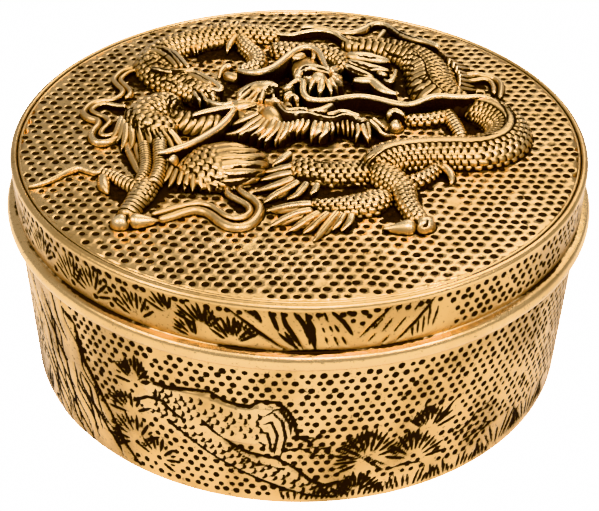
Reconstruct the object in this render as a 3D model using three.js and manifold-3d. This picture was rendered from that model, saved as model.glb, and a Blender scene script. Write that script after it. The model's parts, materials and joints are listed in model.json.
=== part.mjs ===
// A round cast-brass box with a lift-off lid. A dragon lies coiled in high relief on the lid's
// flat field, and a pine trunk, a branch and a bird stand in low relief on the box's wall.
// Millimetres, +Z up. The origin is the centre of the underside.
import * as THREE from "three";
import { mergeVertices } from "three/addons/utils/BufferGeometryUtils.js";
import Module from "manifold-3d";

const wasm = await Module();
wasm.setup();

// Driving sizes of the box
const boxHeight = 35.2; // from the table to the seam under the lid
const boxTopRadius = 58;
const boxFootRadius = 56.4;
const footChamfer = 0.8;
const boxWall = 2.2;
const boxFloor = 2.4;
const lipHeight = 3.5; // the ring that the lid slips over
const lipWall = 1.5;
const lipClearance = 0.4; // sideways gap between the ring and the lid
const seamGap = 0.1; // hairline between the lid's edge and the box's shoulder

// Driving sizes of the lid
const lidHeight = 13.6; // from the seam to the crest of the rim
const bandTopRadius = 58.4;
const bandFootRadius = 58;
const lidWall = 2;
const lidTop = 2.2;
const beadHeight = 3.3;
const beadReach = 2; // how far the bead stands out of the band
const rimWidth = 1.5; // the raised ring round the field
const rimRise = 0.18;
const rimGroove = 0.5; // width and depth of the line inside the rim

// Driving sizes of the carving
const dragonShare = 0.825; // the dragon's span as a share of the field's diameter
const drawnSpan = 94; // units across in the dragon's own drawing
const dragonForward = 0.5; // how far the drawing's middle lies in front of the lid's
const sink = 0.5; // how far a carved piece is rooted in what carries it
const wallRelief = 0.55; // the wall's carving stands out by this share of its drawn height
const wallBorder = 0.4; // plain metal left between the carving and the seam
const roundSegments = 64;
const drawnWallHeight = 35; // units tall in the wall's own drawing

// Sizes worked out from those above
const seam = boxHeight + seamGap;
const crest = seam + lidHeight;
const field = crest - rimRise;
const fieldRadius = bandTopRadius - rimWidth;
const lidInner = bandFootRadius - lidWall;
const lipOuter = lidInner - lipClearance;
const lipInner = lipOuter - lipWall;
const lipTop = boxHeight + lipHeight;
const bandFoot = seam + beadHeight;
const dragonScale = (dragonShare * 2 * fieldRadius) / drawnSpan;

// A closed mesh as a solid that can be joined and cut.
function solidOf(geometry) {
  const bare = geometry.clone();
  bare.deleteAttribute("normal");
  bare.deleteAttribute("uv");
  const merged = mergeVertices(bare, 1e-4);
  return new wasm.Manifold(
    new wasm.Mesh({
      numProp: 3,
      vertProperties: merged.attributes.position.array,
      triVerts: new Uint32Array(merged.index.array),
    }),
  );
}

function geometryOf(solid) {
  const mesh = solid.getMesh();
  const geometry = new THREE.BufferGeometry();
  geometry.setAttribute("position", new THREE.BufferAttribute(mesh.vertProperties, 3));
  geometry.setIndex(new THREE.BufferAttribute(mesh.triVerts, 1));
  geometry.computeVertexNormals();
  return geometry;
}

// A turned solid from a profile of [radius, height] pairs that starts and ends on the axis.
function turned(profile) {
  const points = profile.map(([radius, height]) => new THREE.Vector2(radius, height));
  const geometry = new THREE.LatheGeometry(points, roundSegments);
  geometry.rotateX(Math.PI / 2);
  return solidOf(geometry);
}

// One carved stroke: a half-round ridge along a smooth line through [x, y, half width, height] points.
// `place` puts a point of the drawing, with its height above the ground, on the object.
function stroke(points, sides, steps, place) {
  const line = new THREE.CatmullRomCurve3(
    points.map(([x, y]) => new THREE.Vector3(x, y, 0)),
    false,
    "catmullrom",
    0.5,
  );
  const ring = sides + 1;
  const positions = [];
  for (let i = 0; i <= steps; i++) {
    const t = i / steps;
    const along = t * (points.length - 1);
    const from = Math.min(Math.floor(along), points.length - 2);
    const share = along - from;
    const halfWidth = THREE.MathUtils.lerp(points[from][2], points[from + 1][2], share);
    const height = THREE.MathUtils.lerp(points[from][3], points[from + 1][3], share);
    const centre = line.getPoint(t);
    const way = line.getTangent(t);
    for (let k = 0; k <= sides; k++) {
      const angle = (Math.PI * k) / sides;
      const across = halfWidth * Math.cos(angle);
      const up = k === 0 || k === sides ? -sink : height * Math.sin(angle);
      positions.push(...place(centre.x - way.y * across, centre.y + way.x * across, up));
    }
  }
  const index = [];
  for (let i = 0; i < steps; i++)
    for (let k = 0; k < ring; k++) {
      const next = (k + 1) % ring;
      const a = i * ring + k;
      const b = i * ring + next;
      index.push(a, b, a + ring, b, b + ring, a + ring);
    }
  for (let k = 1; k < ring - 1; k++) {
    index.push(0, k + 1, k);
    const last = steps * ring;
    index.push(last, last + k, last + k + 1);
  }
  const geometry = new THREE.BufferGeometry();
  geometry.setAttribute("position", new THREE.Float32BufferAttribute(positions, 3));
  geometry.setIndex(index);
  return solidOf(geometry);
}

const onField = (x, y, up) => [x * dragonScale, y * dragonScale - dragonForward, field + up * dragonScale];

// The wall's drawing is unrolled: x runs round the box from the front in degrees, y up from the table.
const onWall = (x, y, up) => {
  const height = (y * boxHeight) / drawnWallHeight;
  const radius = THREE.MathUtils.lerp(boxFootRadius, boxTopRadius, height / boxHeight) + up * wallRelief;
  const angle = THREE.MathUtils.degToRad(x);
  return [radius * Math.sin(angle), -radius * Math.cos(angle), height];
};

// The dragon's scaled body and limbs, each point [x, y, half width, height above the field].
const bodyStrokes = {
  coil: [[13, -12.5, 3.6, 3.2], [18, -9.3, 4.6, 4], [24, -7.8, 4.8, 4.2], [30, -7.4, 5, 4.3], [36, -7, 5, 4.3],
    [41, -3.5, 5, 4.3], [42.5, 2.5, 4.9, 4.2], [39.8, 8.3, 4.7, 4], [34.5, 11.8, 4.3, 3.6]],
  back: [[35, 11.5, 3.6, 3.2], [31, 14.5, 5, 3.8], [28.5, 19.5, 5.6, 4], [28, 26, 5.4, 4], [25.5, 32.5, 4.6, 3.6],
    [20.5, 37, 3.8, 3], [14.5, 39.5, 3, 2.4], [9, 40.2, 2.4, 1.8]],
  nape: [[-4, 43.5, 2.6, 2.2], [-11, 43.3, 3.5, 3], [-18, 42, 4, 3.3], [-24, 39.3, 4.2, 3.4], [-29.5, 35.2, 4.3, 3.6],
    [-32.2, 29.5, 4.4, 3.7], [-30.3, 23.8, 4.8, 3.8], [-26, 19.5, 5, 3.9], [-21.5, 15.5, 4.4, 4], [-17.5, 11, 3.4, 4]],
  shoulder: [[-24.5, 11, 4.2, 3.6], [-29.3, 9.2, 4.6, 3.8], [-32, 4.8, 4.8, 3.9], [-30, 1, 4.6, 3.8], [-24.5, 0.8, 3.6, 3.4]],
  chest: [[-24.8, -14.8, 2.2, 2], [-20.5, -14.8, 6.6, 4], [-15.5, -13.8, 8, 4.5], [-10.8, -12, 7, 4.3],
    [-6.5, -9.6, 3.2, 2.6]],
  tail: [[14.5, -14.3, 3.2, 3.1], [9, -15.8, 3, 2.9], [4, -16, 2.9, 2.8], [0, -14.8, 3, 2.8], [-2.6, -12.2, 1.6, 1.8]],
};
const limbStrokes = {
  leftLeg: [[-29.5, -3.5, 2.6, 3.2], [-28.3, -10, 2.4, 3], [-28, -16, 2.4, 3], [-29, -21.5, 2.7, 2.8], [-31, -27, 2.2, 2.5],
    [-32.5, -31.8, 2.2, 2.4]],
  leftToe: [[-29.5, -22.5, 2, 2.2], [-33, -20, 1.8, 2.1], [-36, -17.3, 1.5, 1.9], [-38.7, -15.4, 1.2, 1.6]],
  rightLeg: [[14.5, -13, 3.4, 3.1], [17.3, -16.5, 3.6, 3.2], [19.8, -20.5, 2.9, 3], [20.5, -25, 2.4, 2.8],
    [21.8, -29, 2.2, 2.6], [23.2, -32.3, 2.1, 2.3]],
  rightToe: [[19.5, -19, 2, 2.4], [23.5, -17.3, 1.9, 2.5], [26, -14.5, 1.7, 2.5], [27.9, -11.3, 1.3, 2.2]],
  farLeg: [[17.5, -22.5, 2.4, 2.4], [13, -26, 3.3, 3], [8, -26.8, 2.4, 2.6], [2.5, -26.4, 1.2, 1.7]],
  rightArm: [[30.3, 9.5, 1.9, 2.6], [32, 4, 1.7, 2.2], [33.2, -1, 1.5, 1.8]],
  rightHand: [[31, 8, 2.1, 2.5], [26.5, 6.2, 1.9, 2.3], [21.5, 6, 1.5, 2.1]],
  leftArm: [[-14.5, 43.5, 1.9, 2.8], [-12.5, 37.5, 2.2, 2.8], [-9.8, 32.5, 2.3, 2.8], [-10, 28, 2, 2.7], [-14, 24.8, 1.8, 2.6]],
};

// Claws, horns and whiskers are smooth.
const smoothStrokes = {
  leftClaw: [[-32.3, -32, 2, 2.3], [-29.3, -32.6, 1.7, 2.1], [-26, -33, 0.3, 0.5]],
  leftToeClaw: [[-38.5, -16.2, 1, 1.6], [-38.2, -20.3, 1.2, 1.7], [-36.6, -24.4, 0.3, 0.4]],
  leftThumb: [[-26.8, -11.8, 1.1, 3.7], [-24.4, -15, 1, 3.8]],
  rightClaw: [[22.6, -32.4, 1.9, 2.3], [19, -33.8, 1.8, 2.3], [15.5, -35.2, 0.3, 0.5]],
  rightToeClaw: [[28, -11.8, 0.9, 2], [29.9, -15, 0.8, 1.6], [29.2, -18.9, 0.3, 0.5]],
  handClaw: [[20.2, 6.4, 1.4, 2], [19.8, 3, 1.4, 1.9], [21, 0.2, 0.4, 0.5]],
  armClaw: [[-14.8, 41.5, 0.8, 1.8], [-17.2, 38.5, 0.9, 1.7], [-17.4, 34.3, 0.3, 0.5]],
  armThumb: [[-16.2, 24, 1.5, 2.8], [-14, 22.2, 1.6, 2.6], [-10.8, 20.9, 0.3, 1]],
  longWhisker: [[-2.3, 13.8, 0.7, 4.4], [-0.2, 16.2, 1, 4.8], [0.9, 12.8, 1.1, 4.8], [2.6, 9, 1.1, 4.6],
    [9, 8.6, 1.1, 4.4], [13, 9.8, 1.2, 4.3], [17.5, 9, 1.2, 4.2], [22.5, 7.2, 1.1, 4.4], [28, 9.5, 1.1, 4.8], [38, 10.2, 0.6, 4.7]],
  cheekWhisker: [[-13.8, 4.2, 1.1, 4.6], [-15.5, 0.6, 1.2, 4.4], [-20.5, -5, 1.2, 4], [-28.5, -10.8, 0.9, 3.4]],
  horn: [[-12.5, 4.8, 1.3, 4.7], [-17, 4.2, 1, 4.6], [-22.5, 2.2, 0.7, 4.2]],
  noseWhisker: [[-13, 19.8, 0.9, 3.6], [-9, 19.7, 0.9, 4.2], [-5.5, 22.5, 0.9, 4.6], [-3, 27.7, 0.9, 4.8],
    [0.8, 30.8, 0.9, 4.8], [4, 28.8, 0.8, 4.8], [5.2, 22.6, 0.8, 4.8]],
};
const headStrokes = {
  skull: [[-12, 3, 3, 3.2], [-6.5, 5.2, 5, 4.2], [0, 6, 4.6, 3.6], [7, 3.6, 3.2, 3.2], [13.5, 1.4, 2, 2.8]],
  brow: [[-14.5, 5.5, 2.6, 4.4], [-12.4, 10.6, 3.2, 5], [-9, 14.8, 2.8, 5.2], [-5.8, 15.4, 1.6, 4.9]],
  snout: [[-3.5, 28, 3.4, 3.6], [1.2, 26.4, 4.6, 4.2], [3, 19.5, 3.6, 5], [4.6, 14.5, 2.4, 3.2]],
  crown: [[-7, 37.5, 2, 2.8], [-2.5, 35.2, 3.8, 3.4], [3.5, 34, 3.4, 3.8], [8, 30.8, 3, 3.8], [9.8, 25.5, 2.4, 3.4]],
  lip: [[-4.6, 7, 0.6, 4.5], [-3, 2.8, 0.7, 4.6], [3, 2.2, 0.7, 4.4], [8, 1.3, 0.7, 4.1], [15, -0.2, 0.7, 3.4]],
};

// Flat ribbons that flow behind the dragon.
const ribbonStrokes = {
  leftUpper: [[-36, 26, 1.4, 1.3], [-39.8, 24, 1.4, 1.2], [-38.5, 19, 1.4, 1.2], [-36.8, 15.6, 1.4, 1.2], [-39, 12.5, 1.2, 1.1]],
  leftLower: [[-36.5, 11, 1.4, 1.2], [-41, 11.6, 1.5, 1.2], [-44, 8.2, 1.5, 1.2], [-41.3, 3.6, 1.5, 1.2], [-42, -1.4, 1.5, 1.2],
    [-40, -5, 1.5, 1.2], [-36, -3.6, 1.3, 1.2]],
  leftTip: [[-38.5, -15, 0.9, 1], [-43.5, -13.8, 0.9, 0.9], [-48, -17, 0.9, 0.9], [-52.6, -20, 0.4, 0.5]],
  front: [[-25.5, -31.8, 1.2, 1.3], [-19.5, -29.8, 1.9, 1.5], [-14.5, -31.6, 2, 1.5], [-9.8, -31.6, 2, 1.5], [-9.2, -27, 2, 1.5],
    [-12.2, -22.5, 1.8, 1.6]],
  right: [[32.5, 31.5, 1.4, 2], [34, 25.5, 1.6, 1.7], [37.5, 22.8, 1.6, 1.4], [41.2, 20.8, 1.6, 1.3], [42, 15.8, 1.4, 1.2]],
  top: [[-6, 40.6, 1.5, 2.4], [2, 43, 1.6, 1.8], [8.5, 41.2, 1.6, 1.7], [13, 37.8, 1.6, 1.8], [17.5, 37.4, 1.2, 1.8]],
};

// Leaves, locks and spines are [root x, root y, tip x, tip y, half width, root height, tip height].
const leaves = [
  [10, 27, 20, 28.4, 2, 3.2, 1.2], [10.5, 26.4, 19.5, 23.8, 1.2, 3.4, 1.2], [10.5, 24.6, 16.5, 20.2, 0.8, 3.4, 1.4],
  [11, 21.8, 16.2, 18.8, 1.1, 3, 2.2], [16, 19, 20.2, 13.8, 1, 2.4, 1],
];
// A fan of leaves round a root: n leaves turned evenly from one angle to the other, in degrees.
function fan([x, y], [first, last], n, [shortest, longest], halfWidth, height) {
  const made = [];
  for (let i = 0; i < n; i++) {
    const angle = THREE.MathUtils.degToRad(THREE.MathUtils.lerp(first, last, i / (n - 1)));
    const length = THREE.MathUtils.lerp(longest, shortest, i / (n - 1));
    const tip = [x + length * Math.cos(angle), y + length * Math.sin(angle)];
    made.push([x, y, ...tip, halfWidth, height, 0.5]);
  }
  return made;
}
// Locks that hang in a row from one root line to one tip line.
function fringe([x0, y0, x1, y1], [u0, v0, u1, v1], n, halfWidth, rootHeight, tipHeight) {
  const made = [];
  for (let i = 0; i < n; i++) {
    const t = i / (n - 1);
    const root = [THREE.MathUtils.lerp(x0, x1, t), THREE.MathUtils.lerp(y0, y1, t)];
    const tip = [THREE.MathUtils.lerp(u0, u1, t), THREE.MathUtils.lerp(v0, v1, t)];
    made.push([...root, ...tip, halfWidth, rootHeight, tipHeight]);
  }
  return made;
}
const tufts = [
  ...leaves,
  ...fan([0, -18], [208, 262], 6, [5.5, 10.5], 1, 2.4),
  ...fringe([2.5, -27, 9.5, -28.5], [-6, -30, 8.4, -35], 6, 0.95, 2.2, 0.5),
  ...fringe([-9, 3, 14.5, -0.2], [-13.5, -1.6, 17.4, -1.8], 12, 0.7, 3.9, 0.6),
  ...fringe([-14.5, 43.6, -25, 38.8], [-18.5, 36.6, -22.8, 33.6], 6, 0.6, 3, 1),
];

function leaf([x0, y0, x1, y1, halfWidth, rootHeight, tipHeight], place) {
  const points = [0, 0.45, 1].map((t) => [
    THREE.MathUtils.lerp(x0, x1, t),
    THREE.MathUtils.lerp(y0, y1, t),
    halfWidth * [0.7, 1, 0.25][Math.round(t * 2)],
    THREE.MathUtils.lerp(rootHeight, tipHeight, t),
  ]);
  return stroke(points, 2, 3, place);
}

// The wall's low relief, unrolled: a leaning pine trunk, a bough and the bird on it.
const wallStrokes = [
  [[-63, 31.5, 7, 0.9], [-55, 22, 8.5, 1.2], [-49, 12, 8.5, 1.2], [-43, 2, 8, 1]],
  [[-38, 13, 1.6, 0.9], [-26, 17.5, 2.2, 1.1], [-18, 16.5, 2.2, 1.1], [-11, 11, 2.2, 1.1], [-3, 9.5, 2.2, 1.1], [4, 5, 2, 1]],
  [[-27, 20.5, 2, 0.9], [-19, 23.5, 3.6, 1.2], [-11, 22, 3.8, 1.2], [-5.5, 21.5, 3.6, 1.1], [-3, 16, 2.6, 1]],
];

function joined(solids) {
  return solids.reduce((whole, next) => whole.add(next));
}

function carve(strokes, sides, stepsPerPoint, place) {
  return Object.values(strokes).map((points) =>
    stroke(points, sides, Math.round((points.length - 1) * stepsPerPoint), place),
  );
}

function makeDragon() {
  return [
    ...carve(bodyStrokes, 6, 2, onField),
    ...carve(limbStrokes, 4, 1.6, onField),
    ...carve(headStrokes, 5, 1.7, onField),
    ...carve(smoothStrokes, 3, 1.7, onField),
    ...carve(ribbonStrokes, 3, 2, onField),
    ...tufts.map((one) => leaf(one, onField)),
  ];
}

function makeLid() {
  const bead = beadHeight / 2;
  const shell = turned([
    [0, field],
    [fieldRadius - rimGroove, field],
    [fieldRadius - rimGroove / 2, field - rimGroove],
    [fieldRadius, field],
    [fieldRadius + rimWidth * 0.3, crest],
    [fieldRadius + rimWidth * 0.7, crest],
    [bandTopRadius, crest - rimWidth * 0.6],
    [bandFootRadius, bandFoot + rimGroove],
    [bandFootRadius, bandFoot],
    [bandFootRadius + beadReach * 0.75, seam + bead * 1.6],
    [bandFootRadius + beadReach, seam + bead],
    [bandFootRadius + beadReach * 0.8, seam + bead * 0.35],
    [bandFootRadius + beadReach * 0.45, seam],
    [lidInner, seam],
    [lidInner, field - lidTop],
    [0, field - lidTop],
  ].reverse());
  return joined([shell, ...makeDragon()]);
}

function makeBox() {
  const shell = turned([
    [0, boxFloor],
    [boxFootRadius - boxWall, boxFloor],
    [boxTopRadius - boxWall, boxHeight - lipHeight],
    [lipInner, boxHeight - lipHeight / 2],
    [lipInner, lipTop],
    [lipOuter, lipTop],
    [lipOuter, boxHeight],
    [boxTopRadius, boxHeight],
    [boxFootRadius, footChamfer],
    [boxFootRadius - footChamfer, 0],
    [0, 0],
  ].reverse());
  const carved = joined(wallStrokes.map((points) => stroke(points, 3, (points.length - 1) * 3, onWall)))
    .trimByPlane([0, 0, 1], footChamfer * 1.5)
    .trimByPlane([0, 0, -1], -(boxHeight - wallBorder));
  return shell.add(carved);
}

// Old brass, rubbed bright on the high places.
const brass = new THREE.MeshStandardMaterial({ color: 0xc89a55, roughness: 0.42, metalness: 1 });

function piece(name, solid) {
  const mesh = new THREE.Mesh(geometryOf(solid), brass);
  mesh.name = name;
  return mesh;
}

const ritualBox = new THREE.Group();
ritualBox.add(piece("box_body", makeBox()));
ritualBox.add(piece("lid", makeLid()));

export default ritualBox;
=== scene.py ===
# %% [markdown]
# A round box of cast brass stands on a pale table. Its lid carries a dragon in high relief on a
# field of punched dots, and its wall is chased with a pine, a branch and a bird. The plain turned
# shapes come from a profile that the spin operator takes round the axis. The relief is then worked
# into the vertices, because a chaser works the same way: first the turned form, then the carving.

import json
import math

import bpy
import numpy as np
from mathutils import Matrix, Vector

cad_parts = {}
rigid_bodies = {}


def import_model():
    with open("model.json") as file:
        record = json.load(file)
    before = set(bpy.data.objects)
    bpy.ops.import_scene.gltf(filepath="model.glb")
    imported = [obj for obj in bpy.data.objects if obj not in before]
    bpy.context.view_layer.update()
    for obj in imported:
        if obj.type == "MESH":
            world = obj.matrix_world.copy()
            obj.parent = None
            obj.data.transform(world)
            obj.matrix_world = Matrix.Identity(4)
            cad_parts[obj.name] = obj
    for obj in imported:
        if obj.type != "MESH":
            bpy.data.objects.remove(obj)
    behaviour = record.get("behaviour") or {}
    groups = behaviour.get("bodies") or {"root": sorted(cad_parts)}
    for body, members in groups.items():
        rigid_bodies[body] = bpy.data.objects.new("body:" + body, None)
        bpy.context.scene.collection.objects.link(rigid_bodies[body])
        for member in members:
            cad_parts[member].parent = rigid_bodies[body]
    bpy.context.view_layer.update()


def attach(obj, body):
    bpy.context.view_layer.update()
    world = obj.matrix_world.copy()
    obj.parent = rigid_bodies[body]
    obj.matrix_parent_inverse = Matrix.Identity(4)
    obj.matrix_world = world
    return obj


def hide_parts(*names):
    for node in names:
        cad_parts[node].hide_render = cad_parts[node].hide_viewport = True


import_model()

# %% [markdown]
# Everything below is thought out in millimetres, as the box was measured, and turned into metres
# only when a mesh is made. The sizes repeat those of the solids, so every piece sits on them.

# %% Sizes of the box and the lid
MM = 0.001
BOX_TOP = 35.2
BOX_TOP_RADIUS = 58.0
BOX_FOOT_RADIUS = 56.4
BOX_FLOOR = 2.4
LIP_TOP = 38.7
LIP_OUTER = 55.6
LIP_INNER = 54.1
SEAM = 35.3
CREST = 48.9
FIELD = 48.72
BAND_FOOT = 38.6
BAND_FOOT_RADIUS = 58.0
BAND_TOP_RADIUS = 58.4
BEAD_REACH = 2.0
LID_INNER = 56.0
PLATE_RADIUS = 56.3
CEILING = 46.52
DRAGON_FORWARD = 0.5
ROUND = 58.0  # the wall's drawing is unrolled at this radius
dice = np.random.default_rng(7)


# %% [markdown]
# The camera looks down at the lid from the front, as the photographer did. Its place was fitted to
# the round edges of the bead, the rim and the foot, which are circles of known height.

# %% Camera
PICTURE_WIDTH = 599
PICTURE_HEIGHT = 511
FOCAL = 1526.77  # the lens in picture points
SENSOR = 36


def look_from(distance, elevation, pitch, yaw, roll):
    """Camera matrix for a view of the origin with small turns of the head, in metres and degrees."""
    rise, nod, swing, tilt = (math.radians(a) for a in (elevation, pitch, yaw, roll))
    place = Vector((0, -distance * math.cos(rise), distance * math.sin(rise)))
    level_ahead = Vector((0, math.cos(rise + nod), -math.sin(rise + nod)))
    level_right = Vector((1, 0, 0))
    level_up = level_right.cross(level_ahead)
    ahead = math.cos(swing) * level_ahead + math.sin(swing) * level_right
    swung_right = math.cos(swing) * level_right - math.sin(swing) * level_ahead
    right = math.cos(tilt) * swung_right + math.sin(tilt) * level_up
    up = -math.sin(tilt) * swung_right + math.cos(tilt) * level_up
    turned = Matrix((right, up, -ahead)).transposed().to_4x4()
    return Matrix.Translation(place) @ turned


camera_data = bpy.data.cameras.new("camera")
camera = bpy.data.objects.new("camera", camera_data)
bpy.context.collection.objects.link(camera)
camera.matrix_world = look_from(distance=0.33977, elevation=37.6718, pitch=-2.6005, yaw=0.0623, roll=0.8973)
camera_data.lens = FOCAL * SENSOR / PICTURE_WIDTH
camera_data.sensor_width = SENSOR
camera_data.sensor_fit = "HORIZONTAL"
camera_data.clip_start = 0.01
bpy.context.scene.camera = camera
print("lens", round(camera_data.lens, 1), "mm")


# %% [markdown]
# Old brass is never one colour. The high places are rubbed bright, the flats are a warm brown gold,
# and soot and wax have gone black in every hollow. The carving below leaves two numbers on each
# vertex: grime and shade, how much of the black filling and of painted shade lies there, and rub and
# painted light, how much it stands out, which brightens it as wear and as painted light and highlight.
# One node group turns them into colour and roughness, with clouds and specks on top.

# %% Patina, painted shade and painted light shared by both castings
def add_node(tree, kind, at=(0, 0), **values):
    node = tree.nodes.new(kind)
    node.location = at
    for name, value in values.items():
        if hasattr(node, name):
            setattr(node, name, value)
        else:
            node.inputs[name.replace("_", " ")].default_value = value
    return node


def make_patina_and_light_group():
    group = bpy.data.node_groups.new("brass patina", "ShaderNodeTree")
    face = group.interface
    for name, kind, value in (
        ("Grime", "NodeSocketFloat", 0.0),
        ("Rub", "NodeSocketFloat", 0.0),
        ("Rubbed_and_highlight", "NodeSocketColor", (0.95, 0.7, 0.4, 1)),
        ("Bright", "NodeSocketColor", (0.76, 0.48, 0.205, 1)),
        ("Warm", "NodeSocketColor", (0.46, 0.272, 0.1, 1)),
        ("Soot_and_shade", "NodeSocketColor", (0.016, 0.006, 0.0015, 1)),
        ("Clouds", "NodeSocketFloat", 0.5),
        ("Specks", "NodeSocketFloat", 0.5),
    ):
        socket = face.new_socket(name, in_out="INPUT", socket_type=kind)
        socket.default_value = value
    for name, kind in (
        ("Colour", "NodeSocketColor"),
        ("Roughness", "NodeSocketFloat"),
        ("Height", "NodeSocketFloat"),
    ):
        face.new_socket(name, in_out="OUTPUT", socket_type=kind)
    link = group.links.new
    given = add_node(group, "NodeGroupInput", (-1200, 0))
    result = add_node(group, "NodeGroupOutput", (900, 0))
    where = add_node(group, "ShaderNodeTexCoord", (-1200, -400))

    def noise(scale, detail, at):
        node = add_node(group, "ShaderNodeTexNoise", at)
        node.inputs["Scale"].default_value = scale
        node.inputs["Detail"].default_value = detail
        link(where.outputs["Object"], node.inputs["Vector"])
        return node.outputs["Fac"]

    def ramp(value, low, high, at):
        node = add_node(group, "ShaderNodeMapRange", at)
        node.interpolation_type = "SMOOTHSTEP"
        node.inputs["From Min"].default_value = low
        node.inputs["From Max"].default_value = high
        link(value, node.inputs["Value"])
        return node.outputs["Result"]

    def work_out(kind, a, b, at):
        node = add_node(group, "ShaderNodeMath", at, operation=kind)
        for index, value in enumerate((a, b)):
            if isinstance(value, (int, float)):
                node.inputs[index].default_value = value
            else:
                link(value, node.inputs[index])
        return node.outputs[0]

    def mix(factor, a, b, at, kind="MIX"):
        node = add_node(group, "ShaderNodeMix", at, data_type="RGBA", blend_type=kind)
        link(factor, node.inputs["Factor"])
        link(a, node.inputs["A"])
        link(b, node.inputs["B"])
        return node.outputs["Result"]

    clouds = ramp(noise(70, 4, (-1000, -300)), 0.35, 0.7, (-800, -300))
    fine = noise(900, 3, (-1000, -500))
    specks = ramp(noise(1500, 2, (-1000, -700)), 0.6, 0.72, (-800, -700))
    # Clouds dull the flats, and rub and painted light clear them.
    dull = work_out("MULTIPLY", clouds, given.outputs["Clouds"], (-600, -300))
    lack = work_out("SUBTRACT", 0.45, given.outputs["Rub"], (-550, -200))
    kept = work_out("ADD", dull, work_out("MULTIPLY", lack, 1.25, (-400, -200)), (-400, -300))
    fade = work_out("MINIMUM", work_out("MAXIMUM", kept, 0.0, (-300, -300)), 1.0, (-250, -300))
    # More rub takes the pale rubbed colour, worn brass and painted highlight in one.
    shine = ramp(given.outputs["Rub"], 0.35, 1.0, (-400, 300))
    base = mix(shine, given.outputs["Bright"], given.outputs["Rubbed_and_highlight"], (-250, 200))
    metal = mix(fade, base, given.outputs["Warm"], (-100, 100))
    # The black of soot and of painted shade has a broken edge.
    edge = work_out("MULTIPLY", work_out("SUBTRACT", fine, 0.5, (-800, -500)), 0.5, (-600, -500))
    filled = ramp(work_out("ADD", given.outputs["Grime"], edge, (-400, -500)), 0.38, 0.62, (-250, -500))
    spots = work_out("MULTIPLY", specks, given.outputs["Specks"], (-400, -700))
    black = work_out("MAXIMUM", filled, spots, (0, -500))
    link(mix(black, metal, given.outputs["Soot_and_shade"], (200, 100)), result.inputs["Colour"])
    rough = work_out("ADD", work_out("MULTIPLY", black, 0.35, (200, -200)), 0.26, (350, -200))
    worn = work_out("ADD", rough, work_out("MULTIPLY", fade, 0.12, (200, -350)), (500, -200))
    link(worn, result.inputs["Roughness"])
    grain = work_out("ADD", fine, work_out("MULTIPLY", clouds, 0.6, (200, -700)), (400, -700))
    link(grain, result.inputs["Height"])
    return group


patina_and_painted_light = make_patina_and_light_group()


def make_brass(name, clouds, specks, bump):
    material = bpy.data.materials.new(name)
    material.use_nodes = True
    tree = material.node_tree
    shader = tree.nodes["Principled BSDF"]
    node = add_node(tree, "ShaderNodeGroup", (-400, 0))
    node.node_tree = patina_and_painted_light
    for index, label in enumerate(("grime", "rub")):
        read = add_node(tree, "ShaderNodeAttribute", (-700, -200 * index))
        read.attribute_name = label
        tree.links.new(read.outputs["Fac"], node.inputs[label.capitalize()])
    node.inputs["Clouds"].default_value = clouds
    node.inputs["Specks"].default_value = specks
    relief = add_node(tree, "ShaderNodeBump", (-150, -300))
    relief.inputs["Strength"].default_value = bump
    relief.inputs["Distance"].default_value = 0.0001
    tree.links.new(node.outputs["Height"], relief.inputs["Height"])
    tree.links.new(relief.outputs["Normal"], shader.inputs["Normal"])
    tree.links.new(node.outputs["Colour"], shader.inputs["Base Color"])
    tree.links.new(node.outputs["Roughness"], shader.inputs["Roughness"])
    shader.inputs["Metallic"].default_value = 1.0
    return material


lid_brass = make_brass("lid brass", 0.75, 0.45, 0.6)
wall_brass = make_brass("wall brass", 1.1, 0.5, 0.6)
print("brass made")


# %% [markdown]
# Helpers make every mesh. One builds it from points in millimetres and gives it its finish, one
# leaves the two numbers of patina, painted shade and painted light on it, and one hangs the piece on
# the frame's root and hides the solid that it stands for.

# %% Mesh helpers
def clear_selection():
    for thing in bpy.context.view_layer.objects:
        thing.select_set(False)


def new_piece(name, points, faces, material):
    mesh = bpy.data.meshes.new(name)
    mesh.from_pydata((np.asarray(points) * MM).tolist(), [], [list(f) for f in faces])
    mesh.update()
    piece = bpy.data.objects.new(name, mesh)
    bpy.context.collection.objects.link(piece)
    mesh.materials.append(material)
    mesh.polygons.foreach_set("use_smooth", np.ones(len(mesh.polygons), bool))
    return piece


def leave_numbers(piece, **numbers):
    for name, values in numbers.items():
        layer = piece.data.attributes.new(name, "FLOAT", "POINT")
        layer.data.foreach_set("value", np.clip(values, 0, 1).astype(np.float32))


def points_of(piece):
    flat = np.empty(len(piece.data.vertices) * 3)
    piece.data.vertices.foreach_get("co", flat)
    return flat.reshape(-1, 3) / MM


def move_points(piece, points):
    piece.data.vertices.foreach_set("co", (points * MM).ravel())
    piece.data.update()


def put_in_frame(piece, node):
    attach(piece, "root")
    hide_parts(node)
    triangles = sum(len(p.vertices) - 2 for p in piece.data.polygons)
    print(piece.name, len(piece.data.vertices), "points", triangles, "triangles")


# %% [markdown]
# A turned ring or vessel starts as the outline of its section. In edit mode the spin operator
# takes that outline round the axis, as the lathe does, and doubled points are merged where it
# closes. The number of steps is set by the finest line that the chasing has to hold.

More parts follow.
